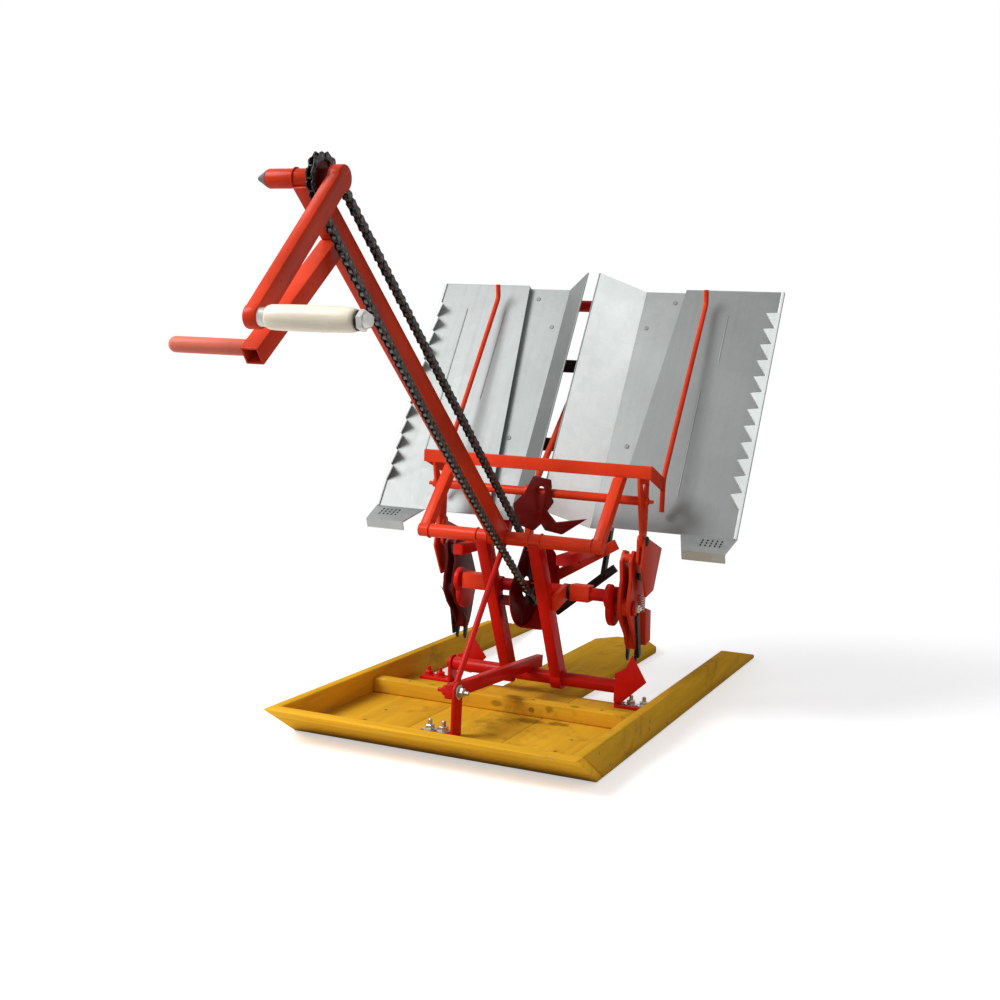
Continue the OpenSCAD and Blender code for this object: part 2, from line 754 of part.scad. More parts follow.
module claw()
    difference() {
        for (x = [parm_in + cheek_t - claw_t, parm_out - cheek_t])
            side(x, x + claw_t)
                polygon([[claw_y - 7, holder_z + 16], [claw_y + 7, holder_z + 16],
                         [claw_y + 6, holder_z + 16 - claw_len * 0.6], [claw_y, holder_z + 16 - claw_len],
                         [claw_y - 5, holder_z + 22 - claw_len], [claw_y - 5, holder_z + 16 - claw_len * 0.6]]);
        planting_arm();
    }

module planting_arm_right() color("red") planting_arm();
module planting_arm_left() color("red") mirror([1, 0, 0]) planting_arm();
module claw_right() color("black") claw();
module claw_left() color("black") mirror([1, 0, 0]) claw();

// Seedling tray
module tray_half_plate() {
    difference() {
        union() {
            on_tray() {
                translate([0, 0, -sheet_t]) linear_extrude(height = sheet_t)
                    polygon([bay_foot, [tray_half, 0], [tray_half, tray_len], bay_top]);
                // Step down to the middle panel
                translate([0.4, 0, -step_h]) linear_extrude(height = step_h - 1)
                    polygon([bay_foot, bay_foot + [sheet_t, 0], bay_top + [sheet_t, 0], bay_top]);
                // Saw-tooth edge, folded in over the bay
                translate([tray_half - 0.6, 0, -0.5]) rotate([0, -tooth_lean, 0]) translate([-sheet_t, 0, 0])
                    rotate([90, 0, 90]) linear_extrude(height = sheet_t) {
                        square([tray_len, 5]);
                        for (i = [0 : tooth_fit - 1]) translate([tooth_u + i * tooth_p, 5])
                            polygon([[0, 0], [tooth_p * 0.6, tooth_h - 5], [tooth_p, 0]]);
                    }
                for (u = [rail_lo, rail_top])
                    translate([shoe_x - shoe_w / 2, u - 14, -rail_n - 15]) cube([shoe_w, 28, rail_n + 15 - sheet_t]);
            }
            // Lip in front of the fold
            translate([0, tray_y, tray_z]) rotate([21, 0, 0]) translate([0, -lip_len, -sheet_t]) {
                linear_extrude(height = sheet_t)
                    polygon([[lip_in, lip_len + sheet_t], [tray_half, lip_len + sheet_t], [tray_half - 6, 0], [lip_in + 16, 0]]);
                translate([lip_in + 16, 0, -lip_drop]) cube([tray_half - lip_in - 22, sheet_t, lip_drop]);
            }
        }
        rail_bores(rail_r + run_gap);
    }
}

// One side of the middle panel, from its flange under the bay's step up to the slot at edge
module ridge(edge)
    on_tray() {
        translate([0, tray_len, 0]) rotate([90, 0, 0]) linear_extrude(height = tray_len)
            polygon([[ridge_half + 2, -step_h - 1.5], [ridge_half + 2, -step_h], [ridge_half + 0.7, -step_h],
                     [edge + 1.2, ridge_h + 1], [edge, ridge_h], [ridge_half - 0.4, -step_h - 1.5]]);
        translate([0, 0, -step_h - 1.5]) linear_extrude(height = 1.5)
            polygon([[ridge_half + 0.5, 0], bay_foot + [sheet_t, 0], bay_top + [sheet_t, 0],
                     [ridge_half + 0.5, tray_len]]);
    }

module tray_right() color("lightgray") tray_half_plate();
module tray_left() color("lightgray") mirror([1, 0, 0]) tray_half_plate();
module ridge_right() color("gainsboro") ridge(slot_half + slot_mid);
module ridge_left() color("gainsboro") mirror([1, 0, 0]) ridge(slot_half - slot_mid);

module tray_bridge() color("gray")
    on_tray() for (u = [strut_u - bridge_step, strut_u])
        translate([-ridge_half - bridge_w / 2, u - bridge_w / 2, panel_n - bridge_t])
            cube([2 * ridge_half + bridge_w, bridge_w, bridge_t]);

module feed_strut() color("red") {
    top = tray_pt(strut_u, panel_n);
    difference() {
        union() {
            rod([slot_mid, guide_y, guide_z], [slot_mid, top[0], top[1]], 5);
            axle(slot_mid - 10, slot_mid + 10, guide_y, guide_z, guide_r + 4);
            side(slot_mid - 5, slot_mid + 5) strip([guide_y, guide_z], [guide_y - 4, guide_z - tongue_len], 16);
        }
        axle(-far, far, guide_y, guide_z, guide_r + run_gap);
        on_tray() translate([-far, -far, panel_n - far]) cube([2 * far, 2 * far, far]);
    }
}

// Pawl plates of the tray feed, hung in front of the guide rod's collar
module feed_plate() color("firebrick")
    difference() {
        translate([slot_mid, guide_y - 4.5, 0]) rotate([90, 0, 0]) linear_extrude(height = plate_gap) difference() {
            polygon([[-20, guide_z - 52], [-26, guide_z - 20], [-8, guide_z - 2], [6, guide_z + 26],
                     [34, guide_z + 22], [40, guide_z - 14], [30, guide_z - 28], [46, guide_z - 44],
                     [98, guide_z - 34], [58, guide_z - 62], [30, guide_z - 58], [22, guide_z - 48],
                     [10, guide_z - 60]]);
            translate([20, guide_z + 4]) circle(r = 7);
        }
        axle(-far, far, guide_y, guide_z, guide_r + 4);
        side(slot_mid - 5, slot_mid + 5) strip([guide_y, guide_z], [guide_y - 4, guide_z - tongue_len], 16);
    }

// Red link above the stay, from the chain guard across the tray beam
module cross_link() color("red")
    difference() {
        translate([0, stay_y, 0]) rotate([90, 0, 0]) linear_extrude(height = 7)
            strip([chain_x + 8, shaft_z + 12], [stay_x, shaft_z + 74], 17);
        axle(-far, chain_x + 12, shaft_y, shaft_z, guard_r);
        rail_stay();
        tray_beams();
        tray_posts();
    }

// Black stay from the chain guard up to the lower rail
module rail_stay() color("black") {
    low = tray_pt(rail_lo, -rail_n);
    difference() {
        union() {
            translate([0, stay_y, 0]) rotate([90, 0, 0]) linear_extrude(height = 7)
                strip([chain_x + 12, shaft_z - 46], [stay_x, shaft_z + 36], 13);
            side(stay_link - 6, stay_link) strip([stay_y - 3.5, shaft_z + 19], [low[0], low[1]], 14);
        }
        rail_bores(rail_r);
        axle(-far, chain_x + 12, shaft_y, shaft_z, guard_r);
    }
}

float_front();
float_sides();
float_floor();
float_cross();
float_keel();
base_tube();
rear_brackets();
front_bracket();
depth_arm();
brace_rod();
mud_plates();
legs();
front_tube();
side_bars();
u_strap();
strap_ends();
press_rods();
guide_rod();
hangers();
main_arm();
bearing_tube();
handle_arm();
handle_bar();
shaft_blocks();
chain_guard();
chain();
tray_beams();
tray_posts();
tray_rails();
crank_shaft();
top_sprocket();
crank_arm();
grip();
main_shaft();
lower_sprocket();
crank_discs();
planting_arm_left();
claw_left();
planting_arm_right();
claw_right();
tray_left();
tray_right();
ridge_left();
ridge_right();
tray_bridge();
feed_strut();
feed_plate();
rail_stay();
cross_link();
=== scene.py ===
"""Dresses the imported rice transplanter: painted float, enamelled frame, chain and zinc tray."""

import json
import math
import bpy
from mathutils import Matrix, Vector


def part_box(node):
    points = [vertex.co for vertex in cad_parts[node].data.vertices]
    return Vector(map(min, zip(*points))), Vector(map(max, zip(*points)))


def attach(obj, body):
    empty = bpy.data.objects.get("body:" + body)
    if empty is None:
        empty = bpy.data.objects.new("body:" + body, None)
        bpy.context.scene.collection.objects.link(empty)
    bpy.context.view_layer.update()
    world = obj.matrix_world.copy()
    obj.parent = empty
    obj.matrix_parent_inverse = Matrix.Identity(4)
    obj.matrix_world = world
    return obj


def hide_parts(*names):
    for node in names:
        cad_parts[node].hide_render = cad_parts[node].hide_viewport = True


bl_info = {
    "name": "Two-row rice transplanter",
    "version": (1, 0, 0),
    "blender": (4, 5, 0),
    "location": "View3D > Sidebar > Transplanter",
    "description": "Models and finishes a hand-cranked rice transplanter round its packed frame",
    "category": "Object",
}

import bpy
from bpy.props import FloatProperty, FloatVectorProperty, PointerProperty
from mathutils import Matrix, Vector

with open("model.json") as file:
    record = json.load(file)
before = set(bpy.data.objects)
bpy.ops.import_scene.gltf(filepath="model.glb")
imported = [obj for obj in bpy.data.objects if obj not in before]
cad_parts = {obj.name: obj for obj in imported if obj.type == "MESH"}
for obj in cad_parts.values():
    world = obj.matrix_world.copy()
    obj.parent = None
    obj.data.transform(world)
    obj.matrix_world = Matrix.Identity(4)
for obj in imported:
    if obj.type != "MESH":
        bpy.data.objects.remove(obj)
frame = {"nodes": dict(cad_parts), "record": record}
NODES = frame["nodes"]
RECORD = frame["record"]
BODY_OF = {n: b for b, names in RECORD["behaviour"]["bodies"].items() for n in names}
SLOT_OF = {s["node"]: s["material_slot"] for s in RECORD["subparts"]}
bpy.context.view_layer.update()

# Stations of the machine, repeated from its source, in metres
SHAFT = Vector((0, 0.040, 0.190))
CRANK = Vector((0, -0.657, 0.190 + math.sqrt(0.889**2 - 0.697**2)))
PITCH = 0.0127
TEETH = 12
PIN_CIRCLE = PITCH / 2 / math.sin(math.pi / TEETH)
RUN_LINKS = 70
CHAIN_X = 0.008
SAG = 0.012
LEAN = math.radians(30.7)
FOLD = Vector((0, 0.087, 0.291))
TRAY = Matrix.Translation(FOLD) @ Matrix.Rotation(math.radians(90) - LEAN, 4, "X")
PLANTER_PIN = (0.062981, 0.170716)
DEPTH_PIN = (-0.236, 0.079)

# Camera, as fitted to the machine's outline: place in metres; yaw, pitch and roll in degrees
CAMERA_AT = (0.81401, -1.9951, 0.56649)
CAMERA_TURN = (23.19, 5.12, 2.59)
CAMERA_SHIFT = (-0.0049, -0.0272)
SENSOR_MM = 36

# Settings that many properties share
COLOUR = {"subtype": "COLOR", "size": 3, "min": 0, "max": 1}
LENGTH = {"subtype": "DISTANCE", "unit": "LENGTH"}


def linear(code):
    """Linear colour of a hex code as seen on screen."""
    parts = [int(code[i : i + 2], 16) / 255 for i in (0, 2, 4)]
    return tuple(c / 12.92 if c <= 0.04045 else ((c + 0.055) / 1.055) ** 2.4 for c in parts)


class PaintColours(bpy.types.PropertyGroup):
    """Colours of the machine's finishes."""

    float_ochre: FloatVectorProperty(
        name="Float ochre", description="Paint of the wooden float",
        default=linear("dda62a"), **COLOUR)
    frame_red: FloatVectorProperty(
        name="Frame red", description="Enamel of the upper frame, arm and crank",
        default=linear("e03d1c"), **COLOUR)
    base_crimson: FloatVectorProperty(
        name="Base crimson", description="Enamel of the lower frame",
        default=linear("cf1c15"), **COLOUR)
    zinc_grey: FloatVectorProperty(
        name="Zinc grey", description="Galvanised sheet of the tray",
        default=linear("8a8d8c"), **COLOUR)
    grip_cream: FloatVectorProperty(
        name="Grip cream", description="Pale wood of the crank grip",
        default=linear("fbeed6"), **COLOUR)
    chain_black: FloatVectorProperty(
        name="Chain black", description="Oiled steel of the chain",
        default=linear("35322f"), **COLOUR)


class FastenerSizes(bpy.types.PropertyGroup):
    """Sizes of the bolts and edges."""

    bolt_across: FloatProperty(
        name="Bolt head", description="Width across the corners of a bolt head",
        default=0.0145, min=0.008, max=0.02, **LENGTH)
    bolt_height: FloatProperty(
        name="Head height", description="Height of a bolt head",
        default=0.0062, min=0.003, max=0.01, **LENGTH)
    washer_radius: FloatProperty(
        name="Washer", description="Radius of a washer",
        default=0.0108, min=0.006, max=0.016, **LENGTH)
    steel_edge: FloatProperty(
        name="Steel edge", description="Rounding of the edges of steel strip and tube",
        default=0.0012, min=0.0002, max=0.003, **LENGTH)
    board_edge: FloatProperty(
        name="Board edge", description="Rounding of the edges of the float's boards",
        default=0.0026, min=0.0005, max=0.005, **LENGTH)
    weld_radius: FloatProperty(
        name="Weld bead", description="Radius of a weld bead",
        default=0.0013, min=0.0006, max=0.004, **LENGTH)


class StageLight(bpy.types.PropertyGroup):
    """Light and view of the studio."""

    key_watts: FloatProperty(
        name="Key light", description="Power of the large soft light", default=88.0, min=0, max=500)
    fill_watts: FloatProperty(
        name="Fill light", description="Power of the side light", default=2.0, min=0, max=500)
    sky: FloatProperty(
        name="Sky", description="Strength of the even light from all round",
        default=0.40, min=0, max=2)
    floor_glow: FloatProperty(
        name="Floor white", description="How white the floor is where it is seen",
        default=0.5, min=0, max=1)
    focal: FloatProperty(
        name="Focal length", description="Lens of the camera in millimetres", default=50.215,
        min=10, max=200)


def colours():
    return bpy.context.scene.transplanter_colours


def sizes():
    return bpy.context.scene.transplanter_sizes


# Finishes


class Wire:
    """A shader socket that takes part in plain arithmetic."""

    def __init__(self, nodes, socket):
        self.nodes = nodes
        self.socket = socket

    def _math(self, operation, first, second, clamp=False):
        return self.nodes.node(
            "Math", {"operation": operation, "use_clamp": clamp}, {0: first, 1: second})

    def __add__(self, other):
        return self._math("ADD", self, other)

    __radd__ = __add__

    def __sub__(self, other):
        return self._math("SUBTRACT", self, other)

    def __rsub__(self, other):
        return self._math("SUBTRACT", other, self)

    def __mul__(self, other):
        return self._math("MULTIPLY", self, other)

    __rmul__ = __mul__

    def clamp(self):
        return self._math("ADD", self, 0.0, True)

    def rise(self, low, high):
        """0 below low, 1 above high, smooth between; high may lie below low."""
        return self.nodes.node(
            "MapRange", {"interpolation_type": "SMOOTHSTEP"},
            {"Value": self, "From Min": low, "From Max": high})


class Nodes:
    """A node tree of a material or the sky."""

    def __init__(self, tree):
        self.tree = tree

    def plug(self, socket, value):
        if isinstance(value, Wire):
            self.tree.links.new(value.socket, socket)
        elif socket.type == "RGBA" and len(value) == 3:
            socket.default_value = (*value, 1)
        else:
            socket.default_value = value

    def node(self, kind, settings=None, inputs=None, output=0):
        """Any node: its settings first, then the values or links of its sockets."""
        made = self.tree.nodes.new("ShaderNode" + kind)
        for key, value in (settings or {}).items():
            setattr(made, key, value)
        for key, value in (inputs or {}).items():
            self.plug(made.inputs[key], value)
        return Wire(self, made.outputs[output])

    def seen(self):
        """1 where the camera looks, straight or in a reflection."""
        straight = self.node("LightPath", output="Is Camera Ray")
        return (straight + self.node("LightPath", output="Is Glossy Ray")).clamp()


class Finish(Nodes):
    """One procedural material, built node by node."""

    def __init__(self, name):
        self.material = bpy.data.materials.new(name)
        self.material.use_nodes = True
        super().__init__(self.material.node_tree)
        self.tree.nodes.clear()
        self.shader = self.tree.nodes.new("ShaderNodeBsdfPrincipled")
        output = self.tree.nodes.new("ShaderNodeOutputMaterial")
        self.tree.links.new(self.shader.outputs[0], output.inputs[0])
        self.place = self.node("TexCoord", output="Object")

    def vector(self, operation, first, second=(0, 0, 0), output=0):
        return self.node("VectorMath", {"operation": operation}, {0: first, 1: second}, output)

    def stretch(self, x, y, z, vector=None):
        return self.vector("MULTIPLY", vector or self.place, (x, y, z))

    def noise(self, scale, detail=2.0, rough=0.5, vector=None, distortion=0.0):
        return self.node(
            "TexNoise", None,
            {"Vector": vector or self.place, "Scale": scale, "Detail": detail, "Roughness": rough,
             "Distortion": distortion})

    def cells(self, scale, vector=None, output="Distance"):
        return self.node(
            "TexVoronoi", None, {"Vector": vector or self.place, "Scale": scale}, output)

    def blend(self, factor, first, second):
        return self.node("Mix", {"data_type": "RGBA"}, {0: factor, 6: first, 7: second}, 2)

    def near(self, point, reach, soft, squeeze=(1, 1, 1)):
        """A soft spot round a point of the machine."""
        offset = self.stretch(*squeeze, self.vector("SUBTRACT", self.place, point))
        return self.vector("LENGTH", offset, output="Value").rise(reach + soft, reach)

    def along_z(self, vector):
        return self.node("SeparateXYZ", None, {0: vector}, "Z")

    def first_channel(self, colour):
        return self.node("SeparateColor", None, {0: colour})

    def bump(self, height, strength, distance):
        return self.node(
            "Bump", None, {"Strength": strength, "Distance": distance, "Height": height})

    def set(self, **values):
        """Values and links of the shader's own sockets, by name."""
        for key, value in values.items():
            socket = key.replace("_", " ").title().replace("Ior", "IOR")
            self.plug(self.shader.inputs[socket], value)
        return self.material


def shade(colour, factor):
    return tuple(min(1.0, c * factor) for c in colour)


def enamel(name, colour):
    """Brushed enamel with a slightly uneven coat, dust, rubs, runs and small chips."""
    f = Finish(name)
    broad = f.noise(6, 3)
    patch = f.noise(34, 4, 0.6)
    chips = (f.noise(150, 3, 0.6) * 0.62 + f.noise(17, 2) * 0.5).rise(0.72, 0.75)
    rub = (f.noise(1, 4, 0.65, f.stretch(70, 190, 70)) * 0.7 + broad * 0.3).rise(0.60, 0.70)
    runs = f.noise(1, 3, 0.6, f.stretch(120, 120, 10)).rise(0.55, 0.75)
    tone = f.blend(broad.rise(0.34, 0.68), shade(colour, 0.72), shade(colour, 1.05))
    tone = f.blend(patch.rise(0.45, 0.7) * 0.25, tone, shade(colour, 1.22))
    tone = f.blend(runs * 0.22, tone, shade(colour, 0.62))
    tone = f.blend(rub * 0.10, tone, shade(linear("e8805e"), 0.9))
    upward = f.along_z(f.node("NewGeometry", output="Normal")).rise(0.55, 1.0)
    tone = f.blend(upward * patch * 0.16, tone, linear("b08a6c"))
    tone = f.blend(chips * 0.8, tone, linear("3b2c27"))
    height = f.noise(420, 2) * 0.25 + patch * 0.6 + runs * 0.3 - chips * 0.8
    return f.set(base_color=tone, roughness=0.34 + broad * 0.16 + chips * 0.3 + rub * 0.1,
                 normal=f.bump(height, 0.16, 0.0008),
                 coat_weight=0.22, coat_roughness=0.28, specular_ior_level=0.0)


def board_paint(name, colour, along, spots=()):
    """Thin ochre paint on sawn boards: grain shows through, knots, scuffs and mud stains."""
    f = Finish(name)

    def grained(long, short):
        """The board's own place, drawn out along its grain."""
        return f.stretch(*((long, short, short) if along == "X" else (short, long, short)))

    bend = f.noise(3.2, 2)
    grain = f.noise(1, 5, 0.6, grained(2.2, 26), 1.1)
    fibre = f.noise(1, 3, 0.6, grained(9, 230))
    streak = f.noise(1, 4, 0.7, grained(2.2 * 2.7, 26 * 2.7))
    ring = f.cells(1, grained(3.2, 8.5))
    knot = ring.rise(0.085, 0.045)
    halo = ring.rise(0.24, 0.07)
    tone = f.blend(grain.rise(0.3, 0.7), shade(colour, 0.82), shade(colour, 1.06))
    tone = f.blend(fibre.rise(0.55, 0.75) * 0.22, tone, shade(colour, 0.6))
    tone = f.blend(bend.rise(0.5, 0.75) * 0.25, tone, linear("dcab3c"))
    tone = f.blend(halo * 0.3, tone, linear("96650f"))
    tone = f.blend(knot * 0.8, tone, linear("4b2f0d"))
    scuff = (streak * 0.62 + f.noise(38, 4, 0.65) * 0.42).rise(0.60, 0.66)
    tone = f.blend(scuff * 0.4, tone, linear("d9b866"))
    grime = (f.noise(24, 5, 0.7) * 0.65 + bend * 0.4).rise(0.56, 0.70)
    tone = f.blend(grime * 0.42, tone, linear("6b4c17"))
    low = f.along_z(f.place).rise(0.016, 0.0)
    tone = f.blend(low * 0.35, tone, linear("5f4519"))
    for point, reach, squeeze, depth in spots:
        spot = f.near(point, reach * 0.4, reach * 1.8, squeeze)
        ragged = (spot * 0.6 + f.noise(130, 4, 0.7) * 0.6).rise(0.58, 0.90)
        tone = f.blend(ragged * depth, tone, linear("5a3b12"))
    height = grain * 0.5 + fibre * 0.5 - knot * 0.5 + scuff * 0.3
    return f.set(base_color=tone, roughness=0.52 + scuff * 0.2 + grime * 0.16,
                 normal=f.bump(height, 0.35, 0.0012),
                 coat_weight=0.06, coat_roughness=0.45, specular_ior_level=0.0)


def zinc_sheet(name, colour, dull=0.0):
    """Hot-dipped sheet: spangle, rolling streaks, dull patches and handling scratches."""
    f = Finish(name)
    spangle = f.first_channel(f.cells(74, f.stretch(1, 1, 0.8), "Color"))
    small = f.first_channel(f.cells(190, None, "Color"))
    cloud = f.noise(3.4, 3, 0.55)
    streak = f.noise(1, 4, 0.6, f.stretch(150, 5, 5))
    scratch = f.noise(1, 3, 0.7, f.stretch(420, 14, 14)).rise(0.68, 0.74)
    tone = f.blend(cloud.rise(0.3, 0.7), shade(colour, 0.78), shade(colour, 1.0))
    tone = f.blend(spangle.rise(0.15, 0.95) * 0.16, tone, shade(colour, 1.22))
    tone = f.blend(small.rise(0.5, 1.0) * 0.08, tone, shade(colour, 0.66))
    tone = f.blend(streak.rise(0.5, 0.75) * 0.16, tone, shade(colour, 0.7))
    tone = f.blend(scratch * 0.25, tone, shade(colour, 1.35))
    rough = 0.46 + dull + spangle * 0.05 + cloud * 0.05 + streak * 0.06 - scratch * 0.08
    return f.set(base_color=tone, roughness=rough, metallic=0.9,
                 normal=f.bump(spangle * 0.3 + streak * 0.4, 0.07, 0.0012))


def oiled_steel(name, colour, gloss=0.34):
    """Dark oiled steel with dry and greasy patches and rubbed highlights."""
    f = Finish(name)
    oil = f.noise(60, 3, 0.6)
    rub = f.noise(340, 2).rise(0.55, 0.75)
    tone = f.blend(oil.rise(0.35, 0.7), shade(colour, 0.55), shade(colour, 1.3))
    tone = f.blend(rub * 0.28, tone, linear("8d8478"))
    return f.set(base_color=tone, roughness=gloss + oil * 0.2 + rub * 0.06, metallic=0.75,
                 normal=f.bump(rub * 0.5 + oil * 0.5, 0.15, 0.0004))


def plated_steel(name, colour, gloss=0.24):
    """Bright plated or turned steel with a faint tarnish."""
    f = Finish(name)
    stain = f.noise(48, 4, 0.6)
    lathe = f.noise(1, 2, 0.5, f.stretch(1500, 90, 90))
    tone = f.blend(stain.rise(0.4, 0.75) * 0.5, colour, shade(colour, 0.55))
    return f.set(base_color=tone, roughness=gloss + stain * 0.2 + lathe * 0.06, metallic=0.95,
                 normal=f.bump(lathe * 0.4 + stain * 0.4, 0.1, 0.0003))


def turned_wood(name, colour):
    """Pale lacquered wood, its grain along the grip, with pores and darker patches."""
    f = Finish(name)
    ring = f.noise(1, 4, 0.6, f.stretch(9, 120, 120), 0.8)
    pore = f.noise(1, 2, 0.5, f.stretch(60, 900, 900)).rise(0.58, 0.72)
    tone = f.blend(ring.rise(0.35, 0.65), shade(colour, 0.90), shade(colour, 1.05))
    tone = f.blend(pore * 0.14, tone, linear("c9a878"))
    tone = f.blend(f.noise(26, 4, 0.65).rise(0.60, 0.76) * 0.16, tone, linear("cfae7c"))
    return f.set(base_color=tone, roughness=0.38 + ring * 0.12, coat_weight=0.25,
                 normal=f.bump(ring * 0.4 - pore * 0.6, 0.18, 0.0004))


# Mud on the floor, the middle plank and the cross board: place, reach, squeeze and depth of each
STAINS = (
    ((0.050, -0.012, 0.014), 0.011, (1, 0.5, 1), 0.8),
    ((0.060, -0.098, 0.014), 0.012, (0.6, 1, 1), 0.6),
    ((0.104, -0.092, 0.014), 0.009, (0.6, 1, 1), 0.6),
    ((0.030, 0.160, 0.014), 0.012, (1, 0.4, 1), 0.5))
SPLASHES = (
    ((-0.006, -0.075, 0.026), 0.005, (0.6, 1, 1), 0.5),
    ((0.030, -0.070, 0.036), 0.006, (0.7, 1, 1), 0.55),
    ((0.052, -0.075, 0.024), 0.004, (0.8, 1, 1), 0.6),
    ((0.081, -0.073, 0.029), 0.005, (0.7, 1, 1), 0.55),
    ((0.118, -0.066, 0.036), 0.005, (0.6, 1, 1), 0.5),
    ((-0.120, -0.064, 0.037), 0.005, (0.6, 1, 1), 0.35))
FINISHES = {}


def mix_finishes():
    """Makes every finish from the colours of the scene."""
    c = colours()
    # The handle bar's red is paled toward the grip's cream: part worn paint, part painted highlight
    faded_and_highlit = tuple(0.95 * a + 0.2 * b for a, b in zip(c.frame_red, c.grip_cream))
    for recipe, name, *look in (
        (board_paint, "boards_long", c.float_ochre, "Y", STAINS),
        (board_paint, "boards_cross", c.float_ochre, "X", SPLASHES),
        (enamel, "frame_red", c.frame_red),
        (enamel, "faded_red", faded_and_highlit),
        (enamel, "base_crimson", c.base_crimson),
        # The prow board's ochre is painted 1.2 times lighter: painted light on a board that faces
        # down
        (board_paint, "front_board", shade(c.float_ochre, 1.2), "X"),
        (zinc_sheet, "zinc", c.zinc_grey),
        # Lighter and darker copies of the same zinc: painted reflection and painted shade on parts
        # of the tray; the darkest copy is also rougher
        (zinc_sheet, "zinc_pale", shade(c.zinc_grey, 1.6)),
        (zinc_sheet, "zinc_white", shade(c.zinc_grey, 3.6), 0.12),
        (zinc_sheet, "zinc_light", shade(c.zinc_grey, 1.04)),
        (zinc_sheet, "zinc_dull", shade(c.zinc_grey, 0.84), 0.06),
        # Very dark red: painted shade on the left planting arm, the feed plate and inside the chain
        # guard, and the real dark paint of the sprocket hubs
        (enamel, "gear_brown", shade(c.base_crimson, 0.19)),
        (oiled_steel, "nail_steel", linear("85703a"), 0.5),
        (oiled_steel, "chain_steel", c.chain_black),
        (plated_steel, "roller_steel", linear("625f5c"), 0.3),
        (enamel, "guard_black", linear("2a2120")),
        (oiled_steel, "black_iron", linear("232122"), 0.42),
        (plated_steel, "bolt_zinc", linear("bcbab6")),
        (plated_steel, "shaft_steel", linear("bfc2c3"), 0.3),
        (turned_wood, "grip_wood", c.grip_cream),
    ):
        FINISHES[name] = recipe(name, *look)


def finish(name):
    """The named finish; all are made at the first call."""
    if not FINISHES:
        mix_finishes()
    return FINISHES[name]


def wear(piece, name):
    piece.data.materials.clear()
    piece.data.materials.append(finish(name))


def tint(piece, name, test):
    """Gives the faces whose middle passes the test a second finish."""
    piece.data.materials.append(finish(name))
    index = len(piece.data.materials) - 1
    for face in piece.data.polygons:
        if test(face.center):
            face.material_index = index


# Bench tools

# Bend from which an edge is rounded, on sawn bars and on CAD copies, and below which it is flat
SAWN_BEND, SHARP_BEND, FLAT_BEND = 0.6, math.radians(35), math.radians(0.3)
BAR_EDGE = 0.0006
# Millimetres in a metre
MM = 1000


def pick(piece):
    """Only this piece is selected and active."""
    bpy.ops.object.select_all(action="DESELECT")
    piece.select_set(True)
    bpy.context.view_layer.objects.active = piece


def edit(piece, mode="FACE"):
    pick(piece)
    bpy.ops.object.mode_set(mode="EDIT")
    bpy.ops.mesh.select_mode(type=mode)
    bpy.ops.mesh.select_all(action="SELECT")


def done():
    bpy.ops.object.mode_set(mode="OBJECT")


def face_out():
    """In edit mode, turns every face outward."""
    bpy.ops.mesh.select_all(action="SELECT")
    bpy.ops.mesh.normals_make_consistent(inside=False)


def added(operator, name, **settings):
    """The object that an operator adds, alone in the selection and named."""
    bpy.ops.object.select_all(action="DESELECT")
    operator(**settings)
    piece = bpy.context.object
    piece.name = name
    return piece


def choose(piece, test):
    """In edit mode, selects the vertices that pass the test, with what lies between them."""
    bpy.ops.mesh.select_all(action="DESELECT")
    done()
    mesh = piece.data
    for vertex in mesh.vertices:
        vertex.select = test(vertex.co)
    for item in (*mesh.edges, *mesh.polygons):
        item.select = all(mesh.vertices[v].select for v in item.vertices)
    bpy.ops.object.mode_set(mode="EDIT")


def modify(piece, kind, **settings):
    pick(piece)
    modifier = piece.modifiers.new(kind.title(), kind)
    for key, value in settings.items():
        setattr(modifier, key, value)
    bpy.ops.object.modifier_apply(modifier=modifier.name)


def soften(piece, width):
    """Rounds the corners of a sawn or sheared bar."""
    modify(piece, "BEVEL", width=width, segments=2, limit_method="ANGLE", angle_limit=SAWN_BEND)


def smooth(piece, degrees=32):
    pick(piece)
    bpy.ops.object.shade_smooth_by_angle(angle=math.radians(degrees))


def set_down(piece, matrix):
    """Puts a piece's place into its mesh."""
    piece.data.transform(matrix @ piece.matrix_world)
    piece.matrix_world = Matrix.Identity(4)


def facing(axis, at, roll=0.0):
    """Matrix that stands +Z along an axis at a point."""
    turn = Vector(axis).to_track_quat("Z", "Y").to_matrix().to_4x4()
    return Matrix.Translation(Vector(at)) @ turn @ Matrix.Rotation(math.radians(roll), 4, "Z")


def off_axle(point, axle):
    """Distance of a point from an axle that runs along X."""
    return Vector((point.y - axle.y, point.z - axle.z)).length


def turned(name, drawing, sides):
    """A lathe-turned piece along +Z, from stations of height and radius in millimetres."""
    stations = [(z / MM, radius / MM) for z, radius in drawing]
    start, radius = stations[0]
    piece = added(bpy.ops.mesh.primitive_circle_add, name, vertices=sides, radius=radius,
                  fill_type="NGON", location=(0, 0, start))
    edit(piece)
    for (z0, r0), (z1, r1) in zip(stations, stations[1:]):
        bpy.ops.mesh.extrude_region_move(TRANSFORM_OT_translate={"value": (0, 0, z1 - z0)})
        bpy.ops.transform.resize(value=(r1 / r0, r1 / r0, 1), center_override=(0, 0, z1))
    face_out()
    done()
    set_down(piece, Matrix.Identity(4))
    return piece


def flat_bar(name, start, end, width, x0, x1):
    """A flat bar from X = x0 to x1, its middle line running in the Y-Z plane."""
    (y0, z0), (y1, z1) = start, end
    bar = added(bpy.ops.mesh.primitive_cube_add, name, size=1)
    set_down(bar, Matrix.Translation(((x0 + x1) / 2, (y0 + y1) / 2, (z0 + z1) / 2))
             @ Matrix.Rotation(math.atan2(z1 - z0, y1 - y0), 4, "X")
             @ Matrix.Diagonal((x1 - x0, math.hypot(y1 - y0, z1 - z0), width, 1)))
    soften(bar, BAR_EDGE)
    smooth(bar)
    return bar


